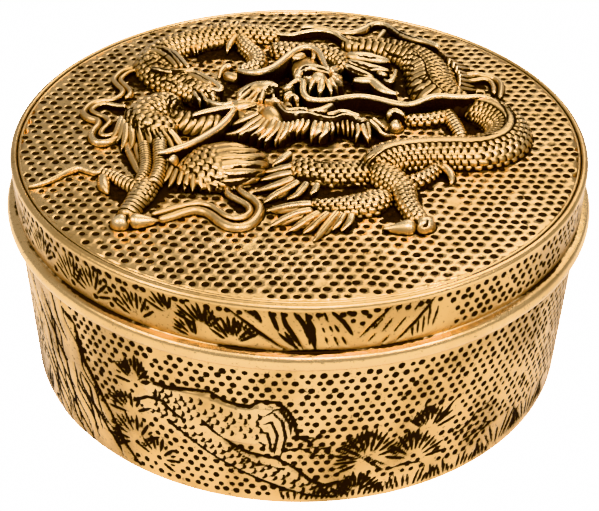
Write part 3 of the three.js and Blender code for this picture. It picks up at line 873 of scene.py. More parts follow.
def haired(pitch=0.9, depth=0.25, bend=0.0, half=0.16):
    def skin(u, v, t):
        locks, black = mark((v + bend * np.sin(u * 0.5)) / pitch, pitch, half)
        return -depth * locks + 0 * u, black + 0 * u

    return skin


def plain():
    def skin(u, v, t):
        return 0 * u * v, 0 * u * v

    return skin


def mixed(first, second, where, soft=1.0):
    """One skin up to a length along the stroke, and another past it."""

    def skin(u, v, t):
        r1, s1 = first(u, v, t)
        r2, s2 = second(u, v, t)
        k = np.clip((u - where) / soft + 0.5, 0, 1)
        return r1 * (1 - k) + r2 * k, s1 * (1 - k) + s2 * k

    return skin


# %% [markdown]
# A stroke lays half a round section across its line at every step and lets the skin work it. A
# thin tall ridge becomes a round cord on a narrow foot, since a plain one would stand like a wall.

# %% Strokes
class Carving:
    """Gathers strokes into one list of points and faces, with the soot that each skin leaves and the
    painted shade on the lower sides of cords.
    """

    def __init__(self):
        self.points, self.faces, self.soot = [], [], []
        self.count = 0

    def stroke(self, line, skin=None, step=0.24, flat=1.0, blunt=True):
        skin = skin or plain()
        u, q = smooth_line(line, step)
        half, height = np.maximum(q[:, 2], 0.04), np.maximum(q[:, 3], 0.05)
        if blunt:
            near = np.minimum(u, u[-1] - u)
            close = np.clip(near / np.minimum(half, u[-1] / 2), 0, 1)
            cap = np.sqrt(np.clip(1 - (1 - close) ** 2, 0.0004, 1))
            half, height = half * cap, height * (0.35 + 0.65 * cap)
        way = np.gradient(q[:, :2], u, axis=0)
        way /= np.maximum(np.linalg.norm(way, axis=1)[:, None], 1e-9)
        side = np.column_stack([-way[:, 1], way[:, 0]])
        # The share of a cord in each section, from none to all
        tall = np.clip((height / half - 1.5) / 0.5, 0, 1)[:, None]
        high = height * (1 - tall[:, 0]) + np.minimum(height, half * 1.1) * tall[:, 0]
        girth = math.pi * np.sqrt((half**2 + high**2) / 2)
        across = max(7, int(girth.max() / step))
        theta = np.linspace(0, math.pi, across + 1)[None]
        c, s = np.cos(theta), np.sin(theta) ** flat
        U = u[:, None]
        V = (0.5 - theta / math.pi) * girth[:, None]
        T = c + 0 * U
        relief, soot = skin(U + 0 * V, V, T)
        nx, nz = c * high[:, None], np.sin(theta) * half[:, None]
        size = np.maximum(np.hypot(nx, nz), 1e-9)
        small = np.clip(half[:, None] / 1.2, 0.15, 1)
        neck = np.clip(s / 0.3, 0, 1)
        out = half[:, None] * c * (1 - tall * 0.45 * (1 - neck)) + relief * small * nx / size
        lifted = (height - high)[:, None] + high[:, None] * s
        up = (height[:, None] * s * (1 - tall) + lifted * neck * tall) + relief * small * nz / size
        # Painted shade: the lower sides of a cord go black, as the shadow beneath it.
        soot = np.maximum(soot, tall * np.clip(1.45 - s / 0.45, 0, 1))
        foot = np.column_stack([out[:, :1] * 1.02, out, out[:, -1:] * 1.02])
        rise = np.column_stack([0 * U - 0.35, np.maximum(up, -0.1), 0 * U - 0.35])
        soot = np.column_stack([soot[:, :1], soot, soot[:, -1:]])
        x = q[:, :1] + side[:, :1] * foot
        y = q[:, 1:2] + side[:, 1:] * foot
        block = np.stack([x, y - DRAGON_FORWARD, FIELD + rise], axis=-1)
        n, m = x.shape
        index = self.count + np.arange(n * m).reshape(n, m)
        around = np.roll(index, -1, axis=1)
        quads = np.stack([index[:-1], around[:-1], around[1:], index[1:]], axis=-1).reshape(-1, 4)
        self.points.append(block.reshape(-1, 3))
        self.soot.append(soot.ravel())
        self.faces += quads.tolist()
        self.faces += [index[0][::-1].tolist(), index[-1].tolist()]
        self.count += n * m

    def leaf(self, root, tip, half, root_height, tip_height, bend=0.0, skin=None, step=0.26):
        """A lock, spine or leaf: fat in the middle, pointed at the tip, bent to one side."""
        root, tip = np.array(root, float), np.array(tip, float)
        run = tip - root
        away = np.array([-run[1], run[0]]) * bend
        line = []
        for t, width in ((0, 0.7), (0.3, 1.0), (0.62, 0.85), (0.86, 0.45), (1, 0.08)):
            p = root + run * t + away * 4 * t * (1 - t)
            line.append((p[0], p[1], half * width, root_height + (tip_height - root_height) * t))
        self.stroke(line, skin, step, blunt=False)

    def fringe(self, roots, tips, count, half, root_height, tip_height, bend=0.0, skin=None, uneven=0.12):
        """Locks from a root line to a tip line, each line given by its two ends or more points."""
        a = smooth_line(roots, 0.2)[1]
        b = smooth_line(tips, 0.2)[1]
        for k in range(count):
            t = k / (count - 1)
            root, tip = a[int(t * (len(a) - 1))], b[int(t * (len(b) - 1))]
            tip = root + (tip - root) * (1 + uneven * math.sin(k * 2.4 + count))
            self.leaf(root, tip, half, root_height, tip_height, bend, skin)


# %% [markdown]
# Many of the dragon's lines were drawn on the picture as the camera sees it, in picture points
# counted from the top left. This helper takes each of them along its line of sight down to the
# height of the metal there, so it lands where it was drawn.

# %% From the picture to the plan
EYE = np.array(camera.matrix_world.translation) / MM
TURNED = np.array(camera.matrix_world.to_3x3())


def sight(px, py):
    """Directions of the lines of sight through picture points."""
    px, py = np.asarray(px, float), np.asarray(py, float)
    across, down = px - PICTURE_WIDTH / 2, py - PICTURE_HEIGHT / 2
    local = np.stack([across / FOCAL, -down / FOCAL, -np.ones_like(px)], axis=-1)
    return local @ TURNED.T


def drawn(*line, up=0.0, slim=1.0):
    """Picture points with half width and height, taken to the plan that strokes are laid in.

    A fat ridge shows more of its near side, so its crest is drawn a little up from its middle. A
    point that gives no height, or neither, keeps what the point before it has."""
    out, last = [], ()
    for point in line:
        px, py, half, height = last = (*point, *last[len(point):])
        way = sight(px, py - up)
        there = EYE + way * (FIELD + height - EYE[2]) / way[2]
        out.append((there[0], there[1] + DRAGON_FORWARD, half * slim, height))
    return out


# %% [markdown]
# The long body first: the coil on the right, the back that climbs behind the head, the nape that
# sweeps round the upper left, the shoulder, the chest and the two ends of the tail.

# %% Dragon's body
body = Carving()
body.stroke([(13, -12.5, 3.6, 3.2), (18, -9.3, 4.6, 4), (24, -7.8, 4.8, 4.2), (30, -7.4, 5, 4.3),
             (36, -7, 5, 4.3), (41, -3.5, 5, 4.3), (42.5, 2.5, 4.9, 4.2), (39.8, 8.3, 4.7, 4),
             (34.5, 11.8, 4.3, 3.6)], scaled(1.4, 2.7, 0.32, crest=0.75), 0.22)
body.stroke([(36.5, 10.2, 3.4, 3.2), (31, 14.5, 5, 3.8), (28.5, 19.5, 5.6, 4), (28, 26, 5.4, 4),
             (25.5, 32.5, 4.6, 3.6), (20.5, 37, 3.8, 3), (14.5, 39.5, 3, 2.4), (9, 40.2, 2.4, 1.8)],
            scaled(1.5, 2.7, 0.3, belly=(1, 0.25), pitch=1.7), 0.23)
body.stroke([(-4, 43.5, 2.6, 2.2), (-11, 43.3, 3.5, 3), (-18, 42, 4, 3.3), (-24, 39.3, 4.2, 3.4),
             (-29.5, 35.2, 4.3, 3.6), (-32.2, 29.5, 4.4, 3.7), (-30.3, 23.8, 4.8, 3.8),
             (-26, 19.5, 5, 3.9), (-21.5, 15.5, 4.4, 4), (-17.5, 11, 3.4, 4)], scaled(1.6, 2.9, 0.34),
            0.23)
body.stroke([(-24.5, 11, 4.2, 3.6), (-29.3, 9.2, 4.6, 3.8), (-32, 4.8, 4.8, 3.9), (-30, 1, 4.6, 3.8),
             (-24.5, 0.8, 3.6, 3.4)], scaled(1.6, 2.9, 0.36), 0.23)
chest = mixed(scaled(1.6, 3.0, 0.34), haired(2.2, 0.4, 0.3, 0.12), 8.5, 2.0)
body.stroke([(-24.8, -14.8, 2.2, 2), (-20.5, -14.8, 6.6, 4), (-15.5, -13.8, 8, 4.5), (-10.8, -12, 7, 4.3),
             (-6.5, -9.6, 3.2, 2.6)], chest, 0.23)
body.stroke([(14.5, -14.3, 3.4, 3.2), (9, -15.6, 3.7, 3.2), (4, -15.4, 3.8, 3.1), (0.5, -13.6, 3.6, 3.0),
             (-1.6, -11.6, 2.2, 2.4)], scaled(1.4, 2.6, 0.32), 0.23)
body.stroke([(-27.5, 5, 2.6, 3.2), (-23.5, 3.2, 3.4, 3.4), (-19, 2.6, 3.2, 3.5), (-15, 3.2, 2.2, 3.4)],
            ribbed(1.5, 0.3, 0.2), 0.25)
# Fins and spines that stand along the body
body.fringe([(-14.5, 45.5), (-20, 43.8), (-25.5, 40)], [(-18, 38.2), (-21, 36.8), (-23.5, 33.5)],
            9, 0.55, 3.3, 1.4)
body.fringe([(31, 12), (33.6, 18), (33.8, 26), (30.5, 33)],
            [(34.5, 14), (37.5, 20.5), (37, 28.5), (33, 36)], 13, 0.7, 3.0, 0.8, 0.1)
body.fringe([(-36.4, 2), (-33.8, -2), (-26, -3)], [(-38, -3.5), (-34, -7.6), (-23, -7.4)],
            9, 0.8, 3.2, 1.0, 0.05)
body.fringe([(-26.5, -11), (-24.5, -16.4), (-19, -19.6), (-12, -18.6)],
            [(-28.6, -13.8), (-26.6, -19.2), (-20.2, -22.2), (-10.8, -21)], 15, 0.62, 2.7, 1.0)

# %% [markdown]
# Four limbs with scaled skin. Each ends in a paw with a fat smooth claw, and a second toe points
# back with a thinner one. The tail's leaves and the tuft beside it lie between the limbs.

# %% Dragon's limbs
limbs = Carving()
rough = scaled(1.35, 2.4, 0.28, fat=0.24)
forearm = mixed(rough, ribbed(1.1, 0.2), 7)
limbs.stroke([(-31.2, -6, 1.3, 3), (-30.2, -12, 1.4, 2.9), (-30, -17, 1.4, 2.9), (-31, -22, 1.6, 2.7)],
             ribbed(0.85, 0.35), 0.22)
limbs.stroke([(-28.2, -3.5, 1.6, 3.6), (-27.6, -10, 1.6, 3.4), (-27.2, -16, 1.6, 3.2),
              (-28.2, -22, 2, 3)], ribbed(0.95, 0.35), 0.22)
limbs.stroke([(-29, -19, 2.4, 2.7), (-30, -24, 2.7, 2.8), (-31.3, -28, 2.3, 2.5),
              (-32.5, -31.8, 2.2, 2.4)], forearm, 0.22)
limbs.stroke([(-29.5, -22.5, 2, 2.2), (-33, -20, 1.8, 2.1), (-36, -17.3, 1.5, 1.9),
              (-38.7, -15.4, 1.2, 1.6)], ribbed(1.0, 0.3), 0.22)
limbs.stroke([(14.5, -13, 3.4, 3.1), (17.3, -16.5, 3.6, 3.2), (19.8, -20.5, 2.9, 3),
              (20.5, -25, 2.4, 2.8), (21.8, -29, 2.2, 2.6), (23.2, -32.3, 2.1, 2.3)], rough, 0.22)
limbs.stroke([(19.5, -19, 2, 2.4), (23.5, -17.3, 1.9, 2.5), (26, -14.5, 1.7, 2.5),
              (27.9, -11.3, 1.3, 2.2)], rough, 0.22)
limbs.stroke([(17.5, -22.5, 2.4, 2.4), (13, -26, 3.3, 3), (8, -26.8, 2.4, 2.6), (2.5, -26.4, 1.2, 1.7)],
             rough, 0.22)
limbs.stroke([(30.3, 9.5, 1.9, 2.6), (32, 4, 1.7, 2.2), (33.2, -1, 1.5, 1.8)], ribbed(1.0, 0.3), 0.22)
limbs.stroke([(31, 8, 2.1, 2.5), (26.5, 6.2, 1.9, 2.3), (21.5, 6, 1.5, 2.1)], rough, 0.22)
limbs.stroke([(-14.5, 43.5, 1.9, 2.8), (-12.5, 37.5, 2.2, 2.8), (-9.8, 32.5, 2.3, 2.8), (-10, 28, 2, 2.7),
              (-14, 24.8, 1.8, 2.6)], rough, 0.22)
for claw in (
    [(112, 219, 1, 1.6), (116, 218.5, 1.7, 2.2), (122, 218, 1.9, 2.4), (130, 218, 1.7, 2.2)],
    [(127, 218, 1.7, 2.3), (136, 217.5, 1.8, 2.2), (145, 219, 1.3, 1.8), (152, 221, 0.75, 1.3),
     (160, 223, 0.2, 0.6)],
    [(103, 174, 1.2, 1.7), (103.5, 183, 1.3), (106, 190, 0.8, 1.2), (108, 196, 0.25, 0.5)],
    [(169, 156, 1.2, 4.2), (177, 160.5, 1.2, 4.0)],
    [(432, 218, 1, 2), (428, 220, 1.8, 2.4), (422, 221, 2, 2.5), (414, 222, 1.7, 2.3)],
    [(417, 222, 1.7, 2.3), (408, 223.5, 1.8, 2.2), (399, 226, 1.3, 1.8), (391, 228.5, 0.75, 1.3),
     (382, 231, 0.2, 0.6)],
    [(440, 165, 0.9, 2.3), (446, 168, 1, 2.1), (451, 174, 0.9, 1.8), (452, 181, 0.6, 1.2),
     (451, 187, 0.25, 0.5)],
    [(394, 120, 1.7, 2.4), (397, 124, 1.6, 2.2), (404, 129, 0.5, 0.8)],
    [(388, 117, 0.6, 2.2), (391, 112.5, 0.7, 2.6), (396, 111.5, 0.7, 2.8), (401, 114, 0.6, 2.6),
     (406, 118, 0.4, 2)],
    [(408, 104, 0.8, 2.4), (409, 111, 0.9, 2.2)],
    [(239, 35, 0.9, 2.6), (234, 38, 1, 2.5), (229.5, 45, 0.85, 2.2), (227, 54, 0.2, 1.2)],
    [(233, 67, 0.8, 1.6), (226, 67, 0.95), (221, 72, 0.75, 1.3), (219, 80, 0.25, 0.7)],
    [(224, 74, 0.8, 1.5), (231, 75.5, 1.4, 1.8), (240, 78, 1.3, 1.6), (252, 82, 0.25, 0.6)],
):
    limbs.stroke(drawn(*claw, up=3.0), step=0.26)
# Leaves of the tail
for leaf in (
    [(292, 151, 0.7, 2.6), (282, 158, 1, 2.2), (272, 166, 0.3, 1.2)],
    [(294, 165, 0.7, 2.6), (280, 168, 1, 2.2), (264, 173, 0.35, 1)],
    [(294, 172, 0.7, 2.6), (277, 175, 1.05, 2.2), (260, 181, 0.3, 0.9)],
    [(295, 177, 0.7, 2.6), (277, 184, 1.05, 2.1), (253, 192.5, 0.3, 0.8)],
    [(300, 180, 0.7, 2.6), (286, 188, 1.05, 2), (272, 196, 0.9, 1.5), (263, 204, 0.3, 0.8)],
    [(308, 181, 0.6, 2.6), (302, 188.5, 0.95, 2), (296, 195, 0.7, 1.6), (287, 200, 0.3, 1)],
    [(318, 182, 0.6, 2.4), (315, 189, 0.75, 1.8), (310, 195, 0.3, 1.2)],
    [(314, 203, 0.8, 2.3), (296, 204, 1.15, 2.1), (280, 207, 1, 1.6), (266, 211.5, 0.3, 0.8)],
    [(314, 209, 0.8, 2.3), (298, 212, 1.2, 2.1), (283, 218.5, 1, 1.5), (270, 227, 0.3, 0.7)],
    [(321, 211, 0.8, 2.3), (307, 218.5, 1.15, 2), (297, 226, 0.8, 1.4), (288, 232, 0.3, 0.7)],
    [(330, 211, 0.8, 2.3), (320, 218.5, 1.1, 2), (311, 227, 0.8, 1.4), (303, 234, 0.3, 0.7)],
    [(339, 210, 0.8, 2.3), (331, 219, 1.2, 2), (323, 229, 1, 1.4), (313, 242, 0.3, 0.6)],
    [(345, 212, 0.7, 2.3), (339.5, 220, 0.9, 1.9), (332, 231, 0.3, 0.7)],
    [(352, 212, 0.7, 2.3), (350, 220, 0.85, 1.9), (341, 232, 0.3, 0.7)],
):
    limbs.stroke(drawn(*leaf, up=2.0), haired(1.3, 0.2, half=0.1), 0.25)

# %% [markdown]
# The head looks to the right from the middle of the lid: a furrowed brow over a round eye, a long
# open mouth with a double lip, and a raised nose with a curled snout behind it.

# %% Dragon's head
head = Carving()
# The masses under the face: temple, brow, cheek, jaw, nose and the back of the head
head.stroke([(-14, 4, 2.6, 3.0), (-9, 6, 4.2, 3.6), (-3, 5.4, 3.6, 3.4), (4, 4, 2.6, 2.6),
             (12, 2, 1.8, 2.0)], plain(), 0.3)
head.stroke(drawn((228, 104, 1.6, 4.0), (238, 101, 2.2, 4.3), (250, 100, 2.4, 4.4), (262, 102, 2.6, 4.4)),
            plain(), 0.28)
head.stroke(drawn((238, 94, 1.6, 4.2), (246, 88, 2.2, 4.7), (256, 83, 2.6, 5.1), (266, 82, 2.5, 5.3),
                  (273, 81, 1.7, 5.2), (277, 83.5, 0.9, 4.9)), plain(), 0.26)
head.stroke(drawn((258, 106, 2.2, 4.4), (268, 106, 3.0, 4.8), (275, 112, 2.6, 4.6), (282, 117, 1.2, 4.2)),
            plain(), 0.28)
head.stroke([(-3.5, 28, 3.2, 3.2), (1.2, 26.4, 4.2, 3.7), (3, 20.6, 2.6, 3.8)], plain(), 0.3)
head.stroke([(-7, 37.5, 2, 2.4), (-2.5, 35.2, 3.6, 3.0), (3.5, 34, 3.2, 3.3), (8, 30.8, 2.8, 3.4),
             (9.8, 25.5, 2.2, 3.0)], scaled(1.5, 2.7, 0.32), 0.24)
for line in (
    # Fingers of the brow, the rim of the socket and the eye
    [(252, 87, 0.7, 4.9), (244, 93.5, 0.6, 4.7), (237, 100, 0.5, 4.4)],
    [(257, 88.5, 0.7, 4.9), (250.5, 95, 0.6, 4.7), (244, 100, 0.5, 4.5)],
    [(261, 90, 0.7, 4.9), (255.5, 97, 0.6, 4.7), (250, 101.5, 0.5, 4.5)],
    [(264, 87, 0.6, 5), (262, 93, 0.7, 4.9), (260, 99.5, 0.6, 4.6)],
    [(266, 85.5, 0.5, 5.2), (270, 83.5, 0.55, 5.4), (275, 83.5, 0.55, 5.3), (279, 87, 0.4, 5)],
    [(271.5, 93.5, 0.8, 4.9), (275.5, 93, 0.85)],
    [(269.5, 98.5, 0.4, 4.6), (274, 97.5, 0.45, 4.7), (279, 98.5, 0.4, 4.6)],
    [(264, 98.5, 0.4, 4.6), (268, 99, 0.5, 4.7), (276, 99.5, 0.5, 4.8), (282, 100.5, 0.4, 4.6)],
    # Bits between the eye and the nose
    [(281.5, 86.5, 0.6, 4.4), (286, 85, 0.9, 4.8), (291, 84, 0.9, 4.9), (295, 86, 0.7, 4.6)],
    [(283.5, 94.5, 0.4, 4.4), (288, 92, 0.45, 4.6), (293, 90.5, 0.4, 4.5)],
    [(286, 98, 0.5, 4.5), (288.5, 95, 0.55, 4.7), (292.5, 93.5, 0.55, 4.8), (296.5, 96, 0.55, 4.7),
     (297, 99.5, 0.4, 4.4)],
    [(285.5, 100.5, 0.7, 4.3), (289, 103.5, 0.8, 4.4), (293, 105.5, 0.5, 4.2)],
    [(296, 102.5, 0.5, 4.2), (300, 103.5, 0.4, 4)],
    # The double lip, from under the eye to the corner on the right
    [(277.5, 101, 0.55, 4.8), (279.5, 105.5, 0.5, 4.9), (284, 110), (290, 111.8, 0.5, 4.8),
     (300, 111, 0.45, 4.6), (310, 112, 0.45, 4.5), (318, 114.3, 0.5, 4.4), (327, 116.6, 0.5, 4.3),
     (335, 116.8, 0.5, 4.2), (342, 114, 0.45, 4.1), (348, 113.3, 0.5, 4), (355, 116, 0.55, 3.9),
     (361, 118.3, 0.65, 3.8), (366, 116.5, 0.5, 3.6)],
    [(281, 100.5, 0.4, 4.6), (284, 105, 0.45), (288.5, 108), (300, 107.3, 0.45, 4.4), (309, 108, 0.5)],
    [(305, 109.3, 0.7, 4.4), (314, 109, 1, 4.6), (323, 106.8, 1.1), (331, 103.5, 0.9, 4.4),
     (335.5, 103, 0.45, 4.2)],
    [(326, 112.5, 0.5, 4.2), (333, 111.5, 0.6), (340, 109.5, 0.5, 4), (347, 110, 0.5, 3.9),
     (354, 112.5, 0.6, 3.8), (361, 115, 0.4, 3.6)],
    # Nose: the arch, the ball inside it and the whisker's root
    [(297, 76, 0.7, 4.9), (299.5, 70, 0.95, 5.2), (304.5, 65.5, 1.1, 5.4), (311, 64, 1.2, 5.5),
     (319, 65.5), (327, 68.5, 0.9, 5.3), (331.5, 71, 0.5, 5)],
    [(309, 73, 1.2, 4.9), (316, 72.5, 1.9, 5.3), (324, 74, 2, 5.2), (329.5, 76, 1.1, 4.8)],
    [(304, 74.5, 0.4, 4.9), (308, 76.5, 0.45, 5), (313, 75.5, 0.45, 5.1)],
):
    head.stroke(drawn(*line), step=0.22)
for root, middle, tip, half in (
    ((317, 76), (312, 81), (309, 90), 0.5), ((322, 76), (321, 84), (319.5, 93), 0.85),
    ((327, 77), (329.5, 83), (331.5, 92), 0.6), ((330, 76), (334, 82), (338.5, 88), 0.4),
    ((331, 74), (337, 77.5), (344, 83), 0.35), ((332, 72), (338, 74), (343, 77), 0.35),
    ((331, 70), (336, 68), (341, 67.5), 0.6), ((330, 68), (334, 66), (339, 65), 0.45),
):
    head.stroke(drawn((*root, half * 0.8, 5.0), (*middle, half, 4.4), (*tip, half * 0.4, 3.2)), step=0.24)

# %% [markdown]
# The hair is a piece of its own: a beard of pointed locks under the cheek and the lip, long
# whiskers that run out over the body, flames to the right of the nose, and the mane on the nape.

# %% Dragon's mane
mane = Carving()
# Beard: pointed locks from the cheek and from under the lip
for lock in (
    [(258, 104, 0.6, 4.6), (250, 105, 0.7, 4.2), (240, 108.5, 0.4, 3.6)],
    [(260, 107.5, 0.6, 4.6), (252, 109, 0.8, 4.2), (243, 114, 0.4, 3.4)],
    [(260, 110, 0.8, 4.6), (246, 116, 1.1, 3.9), (231, 124, 0.5, 2.6)],
    [(263, 113, 0.8, 4.6), (250, 121.5, 0.9, 3.8), (238, 130, 0.7, 2.8), (223, 134, 0.4, 2)],
    [(266, 115.5, 0.8, 4.6), (255, 124.5, 1, 3.8), (238, 134.5, 0.4, 2.2)],
    [(269, 117.5, 0.7, 4.6), (261, 127, 0.8, 3.8), (249, 137, 0.35, 2.2)],
    [(275, 116, 0.9, 4.7), (270, 125, 1.3, 4), (257, 141, 0.35, 2)],
    [(280, 118, 0.8, 4.6), (276.5, 126, 0.9, 3.8), (264, 142, 0.35, 2)],
    [(285, 119.5, 0.5, 4.4), (281.5, 127, 0.7, 3.6), (275, 141, 0.35, 2)],
    [(289, 119.5, 0.6, 4.4), (286, 128, 0.8, 3.6), (279, 140, 0.35, 2)],
    [(293, 118.5, 0.5, 4.4), (291.5, 126, 0.55, 3.4), (285, 136, 0.3, 2)],
    [(298.5, 116.5, 0.6, 4.4), (296, 124, 0.7, 3.4), (291.5, 132, 0.3, 2)],
    [(303.5, 116, 0.6, 4.3), (301, 123, 0.7, 3.4), (296, 133, 0.3, 2)],
    [(309, 117, 0.6, 4.3), (306.5, 124, 0.6, 3.4), (301, 132, 0.3, 2)],
    [(316, 118, 0.7, 4.3), (313.5, 126, 0.8, 3.5), (311, 137, 0.35, 2)],
    [(322, 119, 0.7, 4.2), (318, 128, 1.1, 3.5), (313, 136, 0.35, 2)],
    [(327.5, 119.5, 0.7, 4.2), (325.5, 128, 1.1, 3.5), (319, 138, 0.35, 2)],
    [(331, 120, 0.5, 4.1), (333, 127, 0.5, 3.4), (329.5, 133, 0.3, 2.2)],
    [(337, 119, 0.4, 3.6), (338, 126, 0.4, 2.6), (338, 132, 0.2, 1.4)],
    [(342, 118, 0.4, 3.4), (343, 126, 0.4, 2.4), (344, 132, 0.2, 1.4)],
    [(347, 118, 0.4, 3.4), (348, 126, 0.4, 2.4), (348, 133, 0.2, 1.4)],
    [(352, 120, 0.4, 3.5), (353, 127, 0.4, 2.6), (352, 134, 0.2, 1.4)],
    [(357, 121, 0.55, 3.7), (358.5, 129, 0.6, 2.8), (356, 137, 0.3, 1.8)],
    [(362, 121, 0.7, 3.7), (364.5, 129, 0.8, 2.8), (368.5, 139, 0.35, 1.6)],
    [(367, 120, 0.5, 3.5), (369, 128, 0.5, 2.6), (370, 137, 0.3, 1.6)],
    [(369, 118, 0.4, 3.4), (376, 124, 0.5, 2.8), (383, 132, 0.5, 2), (392, 135, 0.3, 1.2)],
    [(372, 116, 0.4, 3.4), (379, 121, 0.5, 2.8), (386, 128, 0.35, 1.6)],
):
    mane.stroke(drawn(*lock, slim=0.74), step=0.25)
# The two whiskers, the strap over the nose and the long lock that falls across the chest
for line in (
    [(288, 84.5, 0.3, 4.8), (293, 80.5, 0.5, 5.2), (298.5, 77.8, 0.6, 5.4), (303, 79.5, 0.7, 5.5),
     (303, 86, 0.75, 5.4), (304.5, 92, 0.75, 5.2), (309.5, 96.5, 0.75, 5), (318, 98, 0.7, 4.8),
     (330, 97.5, 0.7, 4.5), (340, 96, 0.7, 4.2), (350, 94.5, 0.7, 4), (360, 94, 0.7, 3.8),
     (370, 95, 0.75, 3.7), (380, 97, 0.75, 3.6), (390, 99.5, 0.8, 3.5), (400, 101.5),
     (409, 102, 0.8, 3.7), (417, 100, 0.8, 4), (425, 96.5, 0.8, 4.4), (433, 94, 0.8, 4.7),
     (443, 93.5, 0.75, 4.9), (453, 94.5, 0.7), (465, 95, 0.65, 4.8), (477, 94.5, 0.6, 4.6),
     (487, 96, 0.55, 4.4), (496, 100.5, 0.45, 4.3), (503, 106, 0.3, 4.2)],
    [(237, 68, 0.5, 3.8), (245, 69.3, 0.75, 4.2), (255, 69.8, 0.85, 4.6), (264, 68.3, 0.85, 4.8),
     (272, 65, 0.85, 4.9), (279, 60.3, 0.85, 5), (285.5, 55, 0.85, 5.1), (292, 50, 0.8), (299, 46.3),
     (307, 44.8), (314, 46.3), (319.5, 50.5, 0.75), (322.5, 56.5, 0.7), (325, 63, 0.6, 5.2),
     (329, 68, 0.45, 5.3)],
    [(291, 57, 0.6, 4.4), (298, 54, 1.2, 4.6), (306, 51.5, 0.9, 4.5)],
    [(313, 48.5, 0.5, 4.4), (314, 54, 0.6), (312.5, 58, 0.4, 4.2)],
    [(235, 106, 0.6, 4.6), (230.5, 112, 0.75, 4.7), (224, 119.5, 0.85), (214, 127.5, 0.85, 4.6),
     (202, 135, 0.85, 4.5), (190, 141, 0.85, 4.4), (178, 145.5, 0.8, 4.3), (166, 149.5, 0.65, 4.2),
     (156, 152, 0.3, 4.0)],
    [(237, 104.5, 0.6, 4.7), (228, 105, 0.7), (216, 107, 0.75, 4.6), (205, 109.5, 0.7, 4.5),
     (196, 112.5, 0.55, 4.3), (191, 115, 0.3, 4)],
    [(234, 100, 0.5, 4.2), (224, 102.5, 0.6, 4), (213, 101, 0.5, 3.8), (207, 98, 0.35, 3.6)],
    # Mane that hooks round behind the brow
    [(188, 69, 0.5, 4), (197, 71, 0.65, 4.2), (206, 75, 0.7), (213.5, 79.5, 0.75), (220.5, 85, 0.75, 4.1),
     (219, 88.5, 0.6, 3.9), (212, 86.8), (204, 87.3, 0.7, 3.8), (201, 91, 0.6, 3.6), (205, 97, 0.5, 3.4),
     (209, 101, 0.35)],
    [(186, 72, 0.5, 4), (195, 74.5, 0.65, 4.2), (203, 78.5, 0.7), (210, 82.2, 0.7, 4.1),
     (203, 83.5, 0.5, 3.9), (197, 87, 0.6, 3.8), (195, 92, 0.5, 3.6), (200, 99, 0.35, 3.5)],
    [(210, 91, 0.45, 3.2), (212.5, 96, 0.5, 3.0), (214, 99, 0.3, 2.8)],
    # Flames to the right of the nose
    [(345, 52, 0.8, 3.6), (356, 52.5, 1.6, 4), (368, 53, 1.8, 3.8), (380, 56, 1.5, 3.2),
     (391, 59.5, 0.5, 2.2)],
    [(347, 58.5, 0.6, 3.8), (358, 61, 1, 3.9), (370, 64, 1.25, 3.6), (380, 66.5, 0.9, 3),
     (390, 69.5, 0.35, 2.2)],
    [(344, 62.5, 0.5, 3.8), (352, 66, 0.9), (362, 70, 1, 3.4), (370, 74, 0.7, 3), (375, 77, 0.3, 2.4)],
    [(352, 78, 0.6, 2.8), (362, 77.5, 1.1, 3), (372, 78, 1.2), (379, 83, 1.3, 2.9), (386, 88, 1.1, 2.7),
     (398, 93.5, 0.35, 2)],
    [(377, 70, 0.5, 2.6), (382, 72, 0.8, 2.8), (388, 73, 0.5, 2.4)],
    [(382, 78, 0.5, 2.4), (389, 80, 0.8, 2.6), (394, 75, 0.6), (396, 68, 0.4, 2.4)],
    # Mane over the nape on the upper left
    [(147, 49, 0.4, 3.6), (156, 49.5, 0.55, 4), (164, 52.5, 0.65, 4.3), (171, 58, 0.65, 4.4),
     (177, 66, 0.45, 4.2)],
    [(154, 46, 0.4, 3.6), (163, 46.5, 0.5, 4), (170, 50, 0.6, 4.2), (176, 56, 0.6, 4.4),
     (182, 65, 0.4, 4.2)],
    [(170, 47.5, 0.45, 3.8), (177, 52.5, 0.55, 4.1), (183, 59, 0.6, 4.3), (189, 66.5, 0.4, 4.2)],
    [(150, 66, 0.5, 4), (160, 67.5, 0.7, 4.3), (172, 69.5, 0.75, 4.4), (184, 68.5, 0.75, 4.3),
     (196, 69.5, 0.6, 4.2)],
):
    mane.stroke(drawn(*line), step=0.23)

# %% [markdown]
# Ribbons flow behind the dragon over the field. Each is two low rounded cords side by side. They
# join the limbs, so they count as one piece with them.

